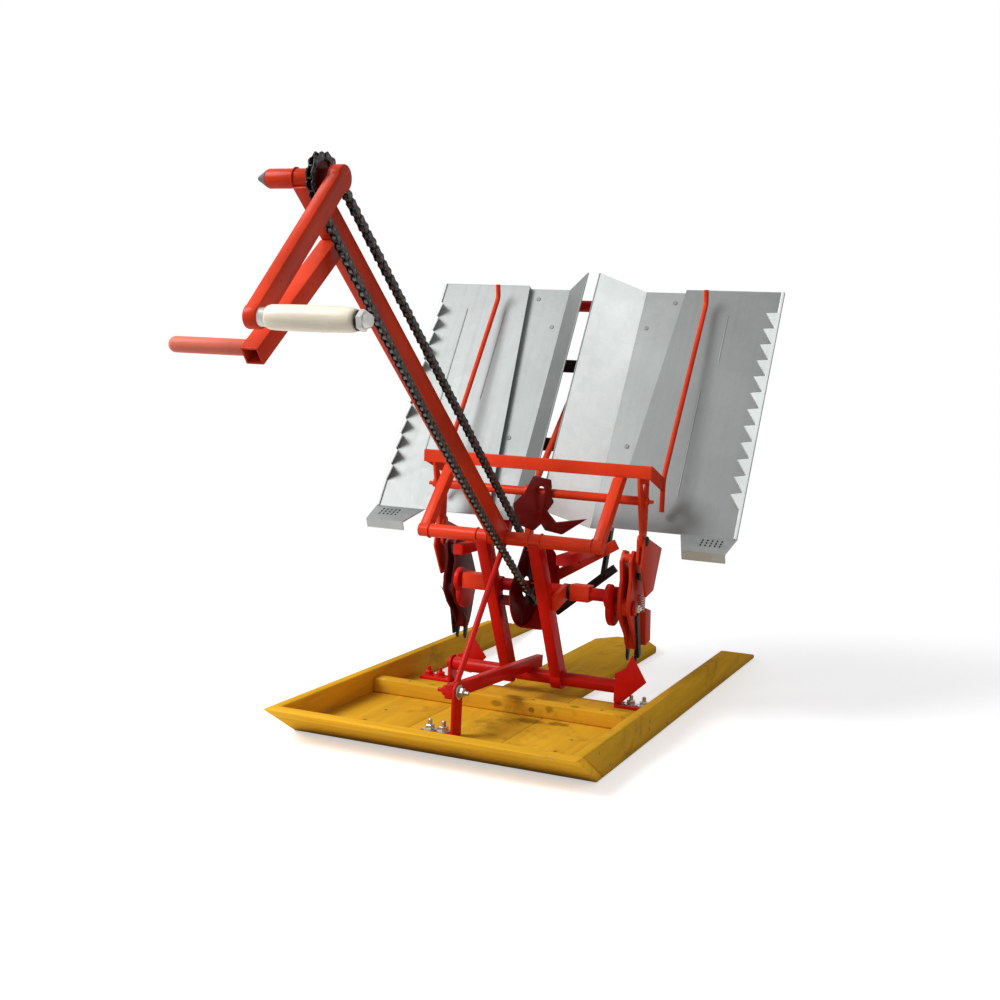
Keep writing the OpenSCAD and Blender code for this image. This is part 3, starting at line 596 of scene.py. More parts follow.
def swept(name, corners, radius, bend=0.0):
    """A round bar through corners, each corner bent on an arc."""
    arc_steps = 6
    points = [corners[0]]
    for before, here, after in zip(corners, corners[1:], corners[2:]):
        back, on = before - here, after - here
        reach = min(bend, back.length * 0.4, on.length * 0.4)
        start, end = here + back.normalized() * reach, here + on.normalized() * reach
        for i in range(arc_steps + 1):
            t = i / arc_steps
            points.append(start * (1 - t) ** 2 + here * 2 * t * (1 - t) + end * t * t)
    points.append(corners[-1])
    bar = added(bpy.ops.curve.primitive_nurbs_path_add, name)
    bar.data.splines.clear()
    spline = bar.data.splines.new("POLY")
    spline.points.add(len(points) - 1)
    for place, point in zip(spline.points, points):
        place.co = (*point, 1)
    bar.data.bevel_depth = radius
    bar.data.bevel_resolution = 5
    bar.data.use_fill_caps = True
    bpy.ops.object.convert(target="MESH")
    set_down(bar, Matrix.Identity(4))
    edit(bar)
    bpy.ops.mesh.remove_doubles(threshold=1e-6)
    face_out()
    done()
    return bar


def join(name, pieces):
    """Joins pieces into one named piece."""
    bpy.ops.object.select_all(action="DESELECT")
    for p in pieces:
        p.select_set(True)
    bpy.context.view_layer.objects.active = pieces[0]
    if len(pieces) > 1:
        bpy.ops.object.join()
    whole = bpy.context.view_layer.objects.active
    whole.name = name
    return whole


def copied(model):
    """A copy with a mesh of its own."""
    copy = model.copy()
    copy.data = model.data.copy()
    bpy.context.scene.collection.objects.link(copy)
    return copy


def repeat(model, places):
    """Copies of a model at several places; the model itself goes."""
    made = [copied(model) for _ in places]
    for copy, place in zip(made, places):
        copy.data.transform(place)
    bpy.data.objects.remove(model)
    return made


def mount(piece, body, slot, *nodes, paint=None, angle=None):
    """Smooths and paints the piece if asked, puts it on its body and hides the CAD nodes it stands
    for; the slot is not used.
    """
    if angle:
        smooth(piece, angle)
    if paint:
        wear(piece, paint)
    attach(piece, body)
    if nodes:
        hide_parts(*nodes)
    return piece


def dressed(node, paint, edge=None, segments=2):
    """A copy of a CAD node that stands for it, its edges rounded, or kept sharp by edge 0."""
    piece = copied(NODES[node])
    piece.name = node + "_dressed"
    for key in list(piece.keys()):
        del piece[key]
    piece.parent = None
    edit(piece)
    bpy.ops.mesh.customdata_custom_splitnormals_clear()
    bpy.ops.mesh.remove_doubles(threshold=2e-6)
    bpy.ops.mesh.dissolve_limited(angle_limit=FLAT_BEND)
    done()
    edge = sizes().steel_edge if edge is None else edge
    if edge:
        modify(piece, "BEVEL", width=edge, segments=segments, limit_method="ANGLE",
               angle_limit=SHARP_BEND, use_clamp_overlap=False)
    return mount(piece, BODY_OF[node], SLOT_OF[node], node, paint=paint, angle=32)


class FloatBoards(bpy.types.Operator):
    """Planed and painted boards of the float, with the floor laid in planks and nailed"""

    bl_idname = "transplanter.float_boards"
    bl_label = "Float boards"

    PLANK_EDGE, PROW_CUT = 0.0014, 0.0238
    SEAMS = (-0.0775, 0.0705)
    SEAM_GAP = 0.00005
    OUTSIDE, NAIL_INSET, FLOOR_NAIL_X = 0.235, 0.028, 0.150
    PROW_TIP, PROW_HIGH, PROW_SLOPE = -0.3296, 0.050, 1.7
    CROSS_Y, CROSS_TOP, FLOOR_TOP = -0.063, 0.037, 0.014

    def plank(self, left, right):
        """One floor plank, its front end cut back under the prow board."""
        low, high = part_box("float_floor")
        plank = added(bpy.ops.mesh.primitive_cube_add, "plank", size=1)
        middle = ((left + right) / 2, (low.y + high.y) / 2, (low.z + high.z) / 2)
        set_down(plank, Matrix.Translation(middle)
                 @ Matrix.Diagonal((right - left, high.y - low.y, high.z - low.z, 1)))
        edit(plank, "VERT")
        choose(plank, lambda co: co.y < middle[1] and co.z < middle[2])
        bpy.ops.transform.translate(value=(0, self.PROW_CUT, 0))
        done()
        soften(plank, self.PLANK_EDGE)
        smooth(plank)
        wear(plank, "boards_long")
        return plank

    def nails(self):
        """Nail heads along the ends of the prow, floor and cross boards."""
        nail = turned("nail", [(-2, 2.6), (0.2, 2.6), (0.6, 1.8), (0.7, 0.6)], 14)
        places = []
        for side in (-1, 1):
            row = [(self.PROW_TIP + (self.PROW_HIGH - z) * self.PROW_SLOPE + self.NAIL_INSET, z)
                   for z in (0.012, 0.026, 0.040)]
            row += [(self.CROSS_Y, 0.020), (self.CROSS_Y, 0.031), (-0.180, 0.007), (0.030, 0.007)]
            places += [facing((side, 0, 0), (side * self.OUTSIDE, y, z)) for y, z in row]
            places += [facing((0, 0, 1), (side * self.FLOOR_NAIL_X, y, self.FLOOR_TOP))
                       for y in (-0.225, -0.160)]
        places += [facing((0, 0, 1), (x, self.CROSS_Y, self.CROSS_TOP))
                   for x in (-0.16, -0.05, 0.05, 0.16)]
        nails = join("float_nails", repeat(nail, places))
        mount(nails, "frame", "bright_steel", paint="nail_steel", angle=32)

    def execute(self, context):
        edge = sizes().board_edge
        for node, paint in (
                ("float_front", "front_board"), ("float_sides", "boards_long"),
                ("float_cross", "boards_cross"), ("float_keel", "boards_long")):
            dressed(node, paint, edge, 3)
        low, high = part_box("float_floor")
        seams = [low.x, *self.SEAMS, high.x]
        planks = [self.plank(left + self.SEAM_GAP, right - self.SEAM_GAP)
                  for left, right in zip(seams, seams[1:])]
        mount(join("floor_planks", planks), "frame", "float_paint", "float_floor")
        self.nails()
        return {"FINISHED"}


class FrameSteel(bpy.types.Operator):
    """Rounded edges and enamel on the steel of the frame, arm, handle and crank"""

    bl_idname = "transplanter.frame_steel"
    bl_label = "Frame steel"

    ARM_EDGE, HANDLE_EDGE, GUARD_EDGE = 0.0014, 0.0009, 0.0007
    STRIP_EDGE, SHAFT_EDGE = 0.0008, 0.0006
    GUARD_RIM = 0.004
    BUSH_START, BUSH_END_LEFT, BUSH_END_RIGHT, BUSH_RADIUS = 0.0605, 0.0735, 0.0655, 0.0132
    GRIP_STUD = 0.0080
    ROD_RADIUS, ROD_MIDDLE, ROD_BEND = 0.004, 0.0048, 0.016
    ROD_RISE, ROD_TOP = (0.322, 0.374), ((0.412, 0.018), (0.429, 0.033))
    BASE_LINE, FRONT_LINE = (0.060, 0.045), (-0.067, 0.280)
    LEG_FACES, SIDE_BAR_FACE, ARM_FACE = (0.0336, 0.0524), 0.1336, -0.0246
    BASE_RADIUS, FRONT_RADIUS, BEARING_RADIUS, BAR_RADIUS = 0.0113, 0.0108, 0.0112, 0.0092
    BEAD_LIFT, BEAD_LUMPS, END_LIFT = 0.0004, 0.0004, 0.0006

    def execute(self, context):
        for node in ("base_tube", "rear_brackets", "front_bracket", "depth_arm", "brace_rod",
                     "mud_plates", "legs", "tray_beams", "tray_posts", "tray_rails",
                     "crank_discs", "main_shaft"):
            dressed(node, "base_crimson")
        edges = {"main_arm": self.ARM_EDGE, "handle_arm": self.HANDLE_EDGE}
        for node in ("front_tube", "side_bars", "u_strap", "strap_ends", "hangers", "main_arm",
                     "bearing_tube", "handle_arm", "guide_rod"):
            dressed(node, "frame_red", edges.get(node))
        # Handle bar in the paled red: worn paint and painted highlight
        dressed("handle_bar", "faded_red")
        guard = dressed("chain_guard", "base_crimson", self.GUARD_EDGE)
        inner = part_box("chain_guard")[1].z - SHAFT.z - self.GUARD_RIM
        # Inside of the guard's dish painted very dark: painted shade
        tint(guard, "gear_brown", lambda c: off_axle(c, SHAFT) < inner)
        tint(dressed("shaft_blocks", "frame_red"), "guard_black", self.on_bush)
        crank = dressed("crank_arm", "frame_red", self.ARM_EDGE)
        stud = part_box("grip")[0].x - self.GRIP_STUD
        tint(crank, "bolt_zinc", lambda c: c.x > stud)
        dressed("crank_shaft", "shaft_steel", self.SHAFT_EDGE)
        # The feed plate is painted very dark red: painted shade
        for node, paint in (("rail_stay", "guard_black"), ("cross_link", "frame_red"),
                            ("feed_plate", "gear_brown")):
            dressed(node, paint, self.STRIP_EDGE)
        self.rods()
        self.welds()
        return {"FINISHED"}

    def on_bush(self, point):
        """Whether a point of the shaft blocks lies on one of their dark bushes."""
        end = self.BUSH_END_RIGHT if point.x > 0 else self.BUSH_END_LEFT
        return (self.BUSH_START < abs(point.x) < end
                and off_axle(point, SHAFT) < self.BUSH_RADIUS)

    def rods(self):
        """Press rods bent from round bar, one smooth sweep each."""
        low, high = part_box("press_rods")
        front = low.y + self.ROD_MIDDLE
        path = [Vector((0, front, z)) for z in self.ROD_RISE]
        path += [TRAY @ Vector((0, *point)) for point in self.ROD_TOP]
        made = []
        for x in (high.x - self.ROD_MIDDLE, low.x + self.ROD_MIDDLE):
            corners = [point + Vector((x, 0, 0)) for point in path]
            made.append(swept("press_rod", corners, self.ROD_RADIUS, self.ROD_BEND))
        rods = join("bent_press_rods", made)
        mount(rods, "frame", "red_paint", "press_rods", paint="frame_red", angle=50)

    def welds(self):
        """Lumpy weld beads where tubes meet strip."""
        rings = []
        for side in (-1, 1):
            rings += [(self.BASE_RADIUS, (side * x, *self.BASE_LINE), "base_crimson")
                      for x in self.LEG_FACES]
            rings += [(self.FRONT_RADIUS, (side * x, *self.FRONT_LINE), "frame_red")
                      for x in (*self.LEG_FACES, self.SIDE_BAR_FACE)]
        bearing_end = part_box("bearing_tube")[1].x
        rings += [(self.BEARING_RADIUS, (x, CRANK.y, CRANK.z), "frame_red")
                  for x in (self.ARM_FACE, bearing_end + self.END_LIFT)]
        low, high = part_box("handle_bar")
        foot = (high.x, (low.y + high.y) / 2, (low.z + high.z) / 2)
        rings.append((self.BAR_RADIUS, foot, "frame_red"))
        across = Matrix.Rotation(math.pi / 2, 4, "Y")
        made = []
        for i, (radius, at, paint) in enumerate(rings):
            bead = added(bpy.ops.mesh.primitive_torus_add, "bead", major_segments=44,
                         minor_segments=8, major_radius=radius + self.BEAD_LIFT,
                         minor_radius=sizes().weld_radius)
            edit(bead, "VERT")
            bpy.ops.transform.vertex_random(offset=self.BEAD_LUMPS, normal=1.0, seed=i)
            bpy.ops.mesh.vertices_smooth(factor=0.4)
            done()
            set_down(bead, Matrix.Translation(at) @ across)
            wear(bead, paint)
            made.append(bead)
        mount(join("weld_beads", made), "frame", "red_paint", angle=60)


class ChainDrive(bpy.types.Operator):
    """Roller chain of stamped plates, pins and rollers laid round the two wheels"""

    bl_idname = "transplanter.chain_drive"
    bl_label = "Chain drive"

    PLATE_RADIUS, PLATE_THICK, WAIST = 0.0051, 0.0008, 0.66
    INNER_PLATE, OUTER_PLATE = 0.0027, 0.0036
    WHEEL_REACH = 0.0108
    HUB_RADIUS, WHEEL_EDGE = 0.0175, 0.0004

    def pins(self):
        """Pin centres round the loop, as in the source."""
        run = (SHAFT - CRANK).normalized()
        out = PIN_CIRCLE * Vector((0, -run.z, run.y))
        lead = math.atan2(run.z, run.y) + math.pi / 2
        sag = SAG * out.normalized()

        def round_wheel(axle, start):
            angles = [start - i * 2 * math.pi / TEETH for i in range(TEETH // 2)]
            return [axle + PIN_CIRCLE * Vector((0, math.cos(a), math.sin(a))) for a in angles]

        points = [CRANK + out + i * PITCH * run for i in range(RUN_LINKS)]
        points += round_wheel(SHAFT, lead)
        for i in range(RUN_LINKS):
            s = i / RUN_LINKS
            points.append(SHAFT - out - i * PITCH * run - 4 * s * (1 - s) * sag)
        return points + round_wheel(CRANK, lead - math.pi)

    def plate(self):
        """One stamped link plate along +Y with a waist, standing on the plane X = 0."""
        plate = added(bpy.ops.mesh.primitive_circle_add, "plate", vertices=12,
                      radius=self.PLATE_RADIUS, fill_type="NGON", rotation=(0, math.pi / 2, 0))
        set_down(plate, Matrix.Identity(4))
        edit(plate, "VERT")
        choose(plate, lambda co: co.y > -1e-6)
        bpy.ops.transform.translate(value=(0, PITCH, 0))
        done()
        edit(plate, "EDGE")
        bpy.ops.mesh.extrude_region_move(
            TRANSFORM_OT_translate={"value": (self.PLATE_THICK, 0, 0)})
        face_out()
        bpy.ops.mesh.bisect(plane_co=(0, PITCH / 2, 0), plane_no=(0, 1, 0))
        bpy.ops.transform.resize(value=(1, 1, self.WAIST), center_override=(0, PITCH / 2, 0))
        done()
        return plate

    def execute(self, context):
        plate = self.plate()
        roller = turned("roller", [(-2.5, 3.6), (-2.3, 4), (2.3, 4), (2.5, 3.6)], 10)
        rivet = turned("rivet", [(-4.6, 1.2), (-4.3, 1.9), (4.3, 1.9), (4.6, 1.2)], 7)
        head = turned("head", [(2.7, 1.9), (4.3, 1.9), (4.6, 1.2)], 7)
        wear(plate, "chain_steel")
        for piece in (roller, rivet, head):
            wear(piece, "roller_steel")
        plates, free_pins, wheel_pins = [], [], []
        points = self.pins()
        for i, (here, after) in enumerate(zip(points, points[1:] + points[:1])):
            step = after - here
            turn = Matrix.Rotation(math.atan2(step.z, step.y), 4, "X")
            inside = self.OUTER_PLATE if i % 2 else self.INNER_PLATE
            for x in (CHAIN_X + inside, CHAIN_X - inside - self.PLATE_THICK):
                plates.append(Matrix.Translation((x, here.y, here.z)) @ turn)
            pin = (CHAIN_X, here.y, here.z)
            to_axle = min((here - axle).length for axle in (CRANK, SHAFT))
            if to_axle < PIN_CIRCLE + self.WHEEL_REACH:
                wheel_pins += [facing((1, 0, 0), pin), facing((-1, 0, 0), pin)]
            else:
                free_pins.append(facing((1, 0, 0), pin))
        chain = join("roller_chain", repeat(plate, plates) + repeat(roller, free_pins)
                     + repeat(rivet, free_pins) + repeat(head, wheel_pins))
        mount(chain, "frame", "dark_steel", "chain", angle=40)
        for node, axle in (("top_sprocket", CRANK), ("lower_sprocket", SHAFT)):
            wheel = dressed(node, "chain_steel", self.WHEEL_EDGE)
            tint(wheel, "gear_brown", lambda c: off_axle(c, axle) < self.HUB_RADIUS)
        return {"FINISHED"}


class CrankGrip(bpy.types.Operator):
    """Turned wooden grip with its washer and cap nut, and the shaft's pointed end"""

    bl_idname = "transplanter.crank_grip"
    bl_label = "Crank grip"

    PROFILE = ((0, 10.8), (1, 11.8), (4, 12.7), (18, 13.1), (42, 13.3), (64, 13.2), (84, 12.8),
               (95, 12.2), (98.8, 11.2), (100, 9.8))
    DRAWN_LENGTH = 0.1
    WASHER_GAP, NUT_GAP, DOME_SINK, POINT_GAP = 0.0012, 0.0034, 0.0064, 0.0004

    def execute(self, context):
        low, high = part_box("grip")
        y, z = (low.y + high.y) / 2, (low.z + high.z) / 2
        length = high.x - low.x
        profile = [(a * length / self.DRAWN_LENGTH, radius) for a, radius in self.PROFILE]
        grip = turned("turned_grip", profile, 40)
        set_down(grip, facing((1, 0, 0), (low.x, y, z)))
        mount(grip, "grip", "grip_wood", "grip", paint="grip_wood", angle=50)
        washer = turned("washer", [(0, 10), (0.4, 10.4), (1.6, 10.4), (2, 10)], 24)
        set_down(washer, facing((1, 0, 0), (high.x + self.WASHER_GAP, y, z)))
        wear(washer, "black_iron")
        nut = turned("cap_nut", [(0, 10.4), (0.6, 11.1), (5.6, 11.1), (6.4, 10)], 6)
        set_down(nut, facing((1, 0, 0), (high.x + self.NUT_GAP, y, z), 12))
        dome = turned("dome", [(0, 8), (3.4, 7.6), (5.8, 6.6), (6.8, 5.4), (7.1, 4)], 20)
        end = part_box("crank_arm")[1].x
        set_down(dome, facing((1, 0, 0), (end - self.DOME_SINK, y, z)))
        for piece in (nut, dome):
            wear(piece, "bolt_zinc")
        cap = join("grip_cap_nut", [nut, dome, washer])
        mount(cap, "crank", "bright_steel", angle=32)
        point = turned("shaft_point", [(0, 9.4), (0.8, 10), (13, 2.6), (14.2, 0.9)], 36)
        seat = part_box("bearing_tube")[0].x - self.POINT_GAP
        set_down(point, facing((-1, 0, 0), (seat, CRANK.y, CRANK.z)))
        mount(point, "crank", "bright_steel", paint="roller_steel", angle=24)
        return {"FINISHED"}


class TrayAndGear(bpy.types.Operator):
    """Zinc on the tray, enamel and black iron on the planting gear"""

    bl_idname = "transplanter.tray_and_gear"
    bl_label = "Tray and planting gear"

    TOOTH_EDGE, SHEET_FACE, LIP_DROP = 0.285, 0.0006, 0.001
    RIDGE_FOOT, RIDGE_HIGH, RIDGE_EDGES = 0.0705, 0.0452, (0.0006, -0.0206)
    HEM_RADIUS, HEM_END, HEM_TOP, HEM_Z = 0.0013, 0.0005, 0.0006, -0.001
    TRAY_LEN, TRAY_HALF, TRAY_INSIDE = 0.450, 0.311, 0.146
    GEAR_EDGE, CLAW_EDGE, BRIDGE_EDGE = 0.0008, 0.0006, 0.0005
    CHEEK, PIN_END = 0.160, 0.165
    # Claw bar and band of a planting arm: start, end, width, thickness and paint
    BARS = (((0.080, 0.158), (0.1005, 0.088), 0.013, 0.004, "black_iron"),
            ((0.067, 0.222), (0.106, 0.214), 0.010, 0.0022, "guard_black"))
    SPRING_AT, SPRING_LEN, SPRING_COIL, SPRING_WIRE = (0.090, 0.163), 0.026, 0.0042, 0.0008
    SPRING_CLEAR = 0.0052
    LIP_FALL, SLOT_AT, SLOT_STEP, SLOT_STRETCH = 21, (0.262, -0.012), (0.0075, 0.008), 1.9
    SPOTS = ((-0.1256, 0.429), (-0.0868, 0.372), (0.1257, 0.429), (0.0852, 0.377),
             (-0.110, 0.150), (0.100, 0.150))
    RIDGE_SHEET, LINE_SINK, LINE_TAPER_MM = -0.010, -0.0004, 4
    LINES = ((-0.178, 0.214, 0.398), (0.225, 0.306, 0.403), (-0.252, 0.10, 0.40),
             (0.205, 0.06, 0.26))

    def execute(self, context):
        back = TRAY.inverted()
        # Left sheet painted slightly lighter and right sheet darker: painted light and painted
        # shade
        for node, paint in (("tray_left", "zinc_light"), ("tray_right", "zinc_dull")):
            sheet = dressed(node, paint, 0)
            # Teeth painted near white: painted reflection
            tint(sheet, "zinc_white", lambda c: abs((back @ c).x) > self.TOOTH_EDGE
                 and (back @ c).z > self.SHEET_FACE)
            # Lip below the fold painted paler: painted reflection
            tint(sheet, "zinc_pale", lambda c: c.z < FOLD.z - self.LIP_DROP)
        dressed("ridge_left", "zinc", 0)
        ridge = dressed("ridge_right", "zinc_light", 0)
        # Low facet of the right ridge painted near white: painted reflection
        tint(ridge, "zinc_white", lambda c: (back @ c).x < self.RIDGE_FOOT)
        for node, paint, edge in (
                ("tray_bridge", "guard_black", self.BRIDGE_EDGE),
                # Left arm painted very dark, right arm bright red: painted shade on the left one
                ("planting_arm_left", "gear_brown", self.GEAR_EDGE),
                ("planting_arm_right", "frame_red", self.GEAR_EDGE),
                ("feed_strut", "frame_red", self.GEAR_EDGE),
                ("claw_left", "black_iron", self.CLAW_EDGE),
                ("claw_right", "black_iron", self.CLAW_EDGE)):
            dressed(node, paint, edge)
        self.presswork()
        self.hems()
        for side, name in ((-1, "left"), (1, "right")):
            self.claw_gear(side, name)
        return {"FINISHED"}

    def coil(self, x, turns=7, steps=14):
        """Points of an upright spring."""
        y, z = self.SPRING_AT
        points = []
        for i in range(turns * steps + 1):
            a = 2 * math.pi * i / steps
            points.append(Vector((
                x + self.SPRING_COIL * math.cos(a), y + self.SPRING_COIL * math.sin(a),
                z + self.SPRING_LEN * i / (turns * steps))))
        return points

    def claw_gear(self, side, name):
        """Claw bar, band, spring and pin nut on the outer cheek of a planting arm."""
        x = side * self.CHEEK
        bars = []
        for start, end, width, thick, paint in self.BARS:
            bars.append(flat_bar("bar", start, end, width, *sorted((x, x + side * thick))))
            wear(bars[-1], paint)
        spring = swept("spring", self.coil(x + side * self.SPRING_CLEAR), self.SPRING_WIRE)
        wear(spring, "bolt_zinc")
        mount(join("claw_gear_" + name, [*bars, spring]), "planter_" + name, "dark_steel")
        nut = turned("pin_nut", [(0, 6.2), (0.5, 6.8), (4.8, 6.8), (5.4, 5.8)], 6)
        stud = turned("stud", [(4, 3.4), (7.8, 3.4), (8.6, 2.6)], 14)
        nut = join("pin_nut_" + name, [nut, stud])
        set_down(nut, facing((side, 0, 0), (side * self.PIN_END, *PLANTER_PIN), 17))
        mount(nut, "main_shaft", "bright_steel", paint="bolt_zinc", angle=32)

    def hems(self):
        """Rolled hems on the edges of the sheets, and the drain slots of the lips as thin black
        discs, painted shade where the holes would be.
        """
        runs = [((x, self.HEM_END, self.RIDGE_HIGH),
                 (x, self.TRAY_LEN - self.HEM_END, self.RIDGE_HIGH)) for x in self.RIDGE_EDGES]
        top = self.TRAY_LEN - self.HEM_TOP
        runs += [[(side * x, top, self.HEM_Z) for x in (self.TRAY_INSIDE, self.TRAY_HALF)]
                 for side in (1, -1)]
        bars = [swept("hem", [TRAY @ Vector(point) for point in run], self.HEM_RADIUS)
                for run in runs]
        mount(join("sheet_hems", bars), "tray", "galvanised", paint="zinc", angle=60)
        lip = Matrix.Translation(FOLD) @ Matrix.Rotation(math.radians(self.LIP_FALL), 4, "X")
        oval = Matrix.Diagonal((1, self.SLOT_STRETCH, 1, 1))
        # Each slot is a thin black disc on the lip: painted shade in place of a hole
        slot = turned("slot", [(-0.4, 1.6), (0.3, 1.5)], 10)
        (x, y), (across, down) = self.SLOT_AT, self.SLOT_STEP
        places = []
        for side in (-1, 1):
            for column in range(5):
                for row in range(3):
                    at = (side * (x + across * column), y - down * row, 0.0)
                    places.append(lip @ Matrix.Translation(at) @ oval)
        slots = join("drain_slots_painted_shade", repeat(slot, places))
        mount(slots, "tray", "dark_steel", paint="black_iron")

    def presswork(self):
        """Spot welds and pressed lines on the sheets."""
        spot = turned("spot", [(-0.6, 4.2), (0.4, 4), (1, 3), (0.7, 1.8)], 18)
        places = [TRAY @ Matrix.Translation((x, u, self.RIDGE_SHEET)) for x, u in self.SPOTS]
        spots = join("spot_welds", repeat(spot, places))
        # Spot welds take the darker, rougher zinc that was made as painted shade
        mount(spots, "tray", "galvanised", paint="zinc_dull", angle=50)
        up_sheet = Matrix.Rotation(-math.pi / 2, 4, "X")
        lines = []
        for x, low, high in self.LINES:
            end, taper = MM * (high - low), self.LINE_TAPER_MM
            line = turned("line", [(0, 0.4), (taper, 1.3), (end - taper, 1.3), (end, 0.4)], 12)
            set_down(line, TRAY @ Matrix.Translation((x, low, self.LINE_SINK)) @ up_sheet)
            lines.append(line)
        mount(join("pressed_lines", lines), "tray", "galvanised", paint="zinc", angle=60)


class Fasteners(bpy.types.Operator):
    """Bolts with washers, and rivets, that hold the brackets, hubs and pivots"""

    bl_idname = "transplanter.fasteners"
    bl_label = "Fasteners"

    FLANGE_TOP, REAR_Y = 0.019, 0.060
    HUB = (0.175, 0.040, 0.342)
    ROCKER_PIVOT = (0.179, 0.055, 0.279)

    def bolt(self):
        """A bolt on its washer, standing along +Z."""
        s = sizes()
        r, h, w = (MM * size for size in (s.bolt_across / 2, s.bolt_height, s.washer_radius))
        head = turned("head", [(1.6, r * 0.97), (2.2, r), (h + 0.8, r), (h + 1.8, r * 0.86)], 6)
        washer = turned("washer", [(-0.4, w), (1.3, w), (1.6, w * 0.96)], 22)
        stud = turned("stud", [(h, r * 0.42), (h + 8.6, r * 0.42), (h + 9.4, r * 0.32)], 12)
        return join("bolt", [head, washer, stud])

    def upright(self, y, *bolts):
        """Bolts that stand on a bracket's flange, each with its place across and its turn."""
        return [((0, 0, 1), (x, y, self.FLANGE_TOP), turn) for x, turn in bolts]

    def execute(self, context):
        front, _ = DEPTH_PIN
        groups = {
            "bolt_zinc": self.upright(self.REAR_Y, (0.166, 10), (0.187, 27))
            + self.upright(front, (-0.0165, 8), (-0.038, 31))
            + [((1, 0, 0), (0.005, *DEPTH_PIN), 20)],
            "base_crimson": self.upright(self.REAR_Y, (-0.166, 10), (-0.187, 27))
            + [((-1, 0, 0), (-0.012, *DEPTH_PIN), 5)],
            "frame_red": [((side, 0, 0), (side * self.HUB[0], *self.HUB[1:]), 40)
                          for side in (-1, 1)],
        }
        model = self.bolt()
        made = []
        for paint, bolts in groups.items():
            wear(model, paint)
            made += repeat(copied(model), [facing(*bolt) for bolt in bolts])
        bpy.data.objects.remove(model)
        mount(join("frame_bolts", made), "frame", "bright_steel", angle=32)
        rivet = turned("rivet", [(-0.6, 7.8), (1, 7.6), (2.4, 5.8), (3, 2.8)], 24)
        x, y, z = self.ROCKER_PIVOT
        places = [facing((side, 0, 0), (side * x, y, z)) for side in (-1, 1)]
        rivets = join("rocker_rivets", repeat(rivet, places))
        mount(rivets, "frame", "dark_steel", paint="guard_black", angle=50)
        return {"FINISHED"}


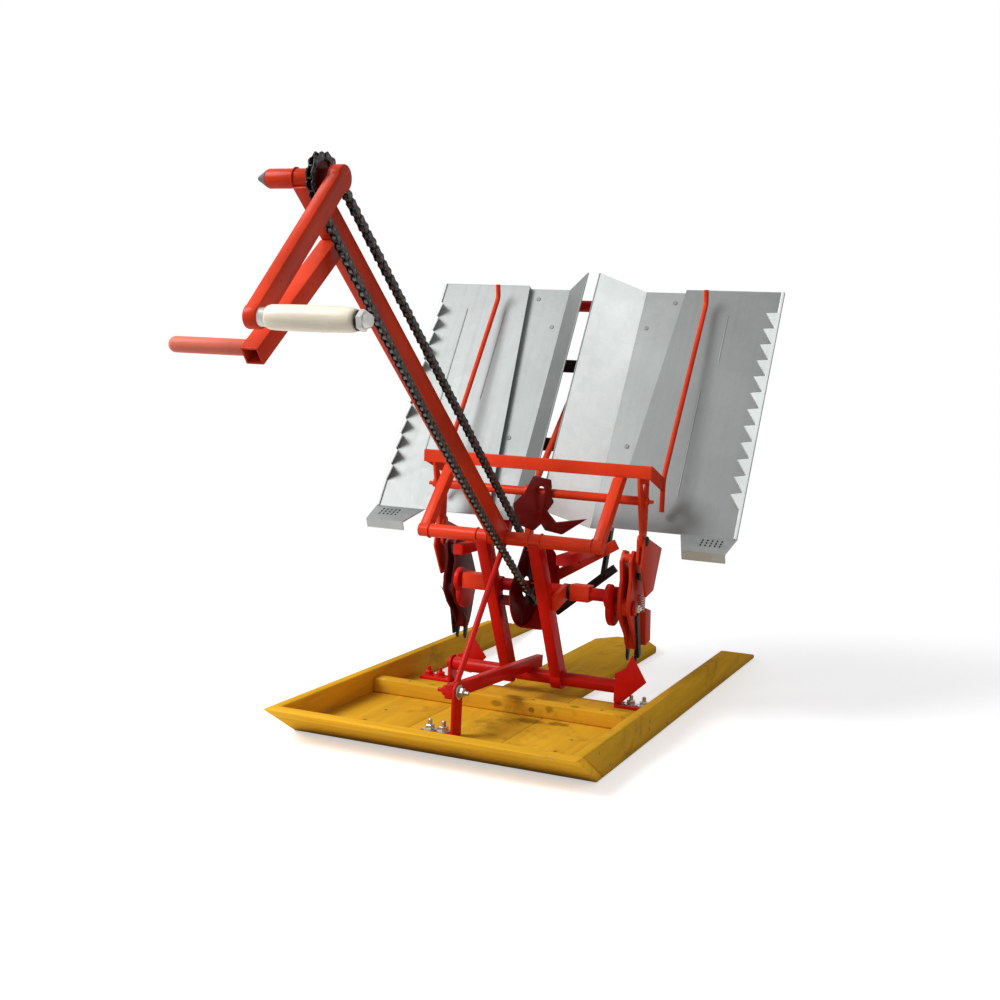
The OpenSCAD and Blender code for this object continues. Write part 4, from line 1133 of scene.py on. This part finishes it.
class StudioStage(bpy.types.Operator):
    """Pale floor, soft light and a camera at the viewing angle"""

    bl_idname = "transplanter.studio_stage"
    bl_label = "Studio stage"

    FLOOR_SIZE, FLOOR_DROP, FLOOR_WHITE = 24, 0.0004, 0.88
    SHADOW_REACH, SHADOW_SOFT = 0.75, 1.5

    def area(self, name, at, to, size, watts):
        """A square soft light at a point, turned to another."""
        lamp = bpy.data.lights.new(name, "AREA")
        lamp.shape = "RECTANGLE"
        lamp.size = lamp.size_y = size
        lamp.energy = watts
        stand = bpy.data.objects.new(name, lamp)
        bpy.context.scene.collection.objects.link(stand)
        stand.matrix_world = facing(Vector(at) - Vector(to), at)

    def floor(self, glow):
        """Floor that takes the shadow near the machine and is white where it is seen."""
        floor = added(bpy.ops.mesh.primitive_plane_add, "studio_floor", size=self.FLOOR_SIZE,
                      location=(0, 0, -self.FLOOR_DROP))
        f = Finish("studio_floor")
        close = f.near((0, 0, 0), self.SHADOW_REACH, self.SHADOW_SOFT)
        f.set(base_color=f.blend(close, (0, 0, 0), (self.FLOOR_WHITE,) * 3),
              emission_color=f.blend(close, (1, 1, 1), (glow,) * 3),
              emission_strength=f.seen(), roughness=0.9, specular_ior_level=0.0)
        floor.data.materials.append(f.material)

    def sky(self, strength):
        """Even light from all round, white to the camera and in reflections."""
        world = bpy.data.worlds.new("studio_sky")
        bpy.context.scene.world = world
        world.use_nodes = True
        nodes = Nodes(world.node_tree)
        level = nodes.node("MapRange", None, {"Value": nodes.seen(), "To Min": strength})
        light = nodes.tree.nodes["Background"]
        nodes.plug(light.inputs["Color"], (1, 1, 1))
        nodes.plug(light.inputs["Strength"], level)

    def camera(self, focal):
        """Camera at the viewing angle, with its roll."""
        lens = bpy.data.cameras.new("photo_view")
        lens.sensor_width = SENSOR_MM
        lens.lens = focal
        lens.shift_x, lens.shift_y = CAMERA_SHIFT
        lens.clip_start, lens.clip_end = 0.05, 60
        camera = bpy.data.objects.new("photo_view", lens)
        bpy.context.scene.collection.objects.link(camera)
        yaw, pitch, roll = (math.radians(a) for a in CAMERA_TURN)
        aim = Matrix.Rotation(yaw, 4, "Z") @ Matrix.Rotation(math.pi / 2 - pitch, 4, "X")
        camera.matrix_world = Matrix.Translation(CAMERA_AT) @ aim @ Matrix.Rotation(roll, 4, "Z")
        bpy.context.scene.camera = camera

    def execute(self, context):
        s = context.scene.transplanter_stage
        self.floor(s.floor_glow)
        self.sky(s.sky)
        self.area("key_light", (-1.75, -1.55, 2.2), (0, -0.1, 0.35), 1.5, s.key_watts)
        self.area("fill_light", (2.3, 0.0, 1.8), (0, 0.1, 0.4), 1.2, s.fill_watts)
        self.camera(s.focal)
        context.scene.view_settings.view_transform = "Standard"
        return {"FINISHED"}


STEPS = (FloatBoards, FrameSteel, ChainDrive, CrankGrip, TrayAndGear, Fasteners, StudioStage)
GROUPS = (PaintColours, FastenerSizes, StageLight)


class TransplanterPanel(bpy.types.Panel):
    """Lists the steps and the sizes and colours"""

    bl_idname = "VIEW3D_PT_transplanter"
    bl_label = "Rice transplanter"
    bl_space_type = "VIEW_3D"
    bl_region_type = "UI"
    bl_category = "Transplanter"

    def draw(self, context):
        for step in STEPS:
            self.layout.operator(step.bl_idname)
        for group in (colours(), sizes(), context.scene.transplanter_stage):
            box = self.layout.box()
            for name in group.__annotations__:
                box.prop(group, name)


def register():
    for cls in (*GROUPS, *STEPS, TransplanterPanel):
        bpy.utils.register_class(cls)
    bpy.types.Scene.transplanter_colours = PointerProperty(type=PaintColours)
    bpy.types.Scene.transplanter_sizes = PointerProperty(type=FastenerSizes)
    bpy.types.Scene.transplanter_stage = PointerProperty(type=StageLight)


def unregister():
    for name in ("transplanter_colours", "transplanter_sizes", "transplanter_stage"):
        delattr(bpy.types.Scene, name)
    for cls in reversed((*GROUPS, *STEPS, TransplanterPanel)):
        bpy.utils.unregister_class(cls)


def main():
    register()
    for step in STEPS:
        group, name = step.bl_idname.split(".")
        getattr(getattr(bpy.ops, group), name)()


if __name__ == "__main__":
    main()
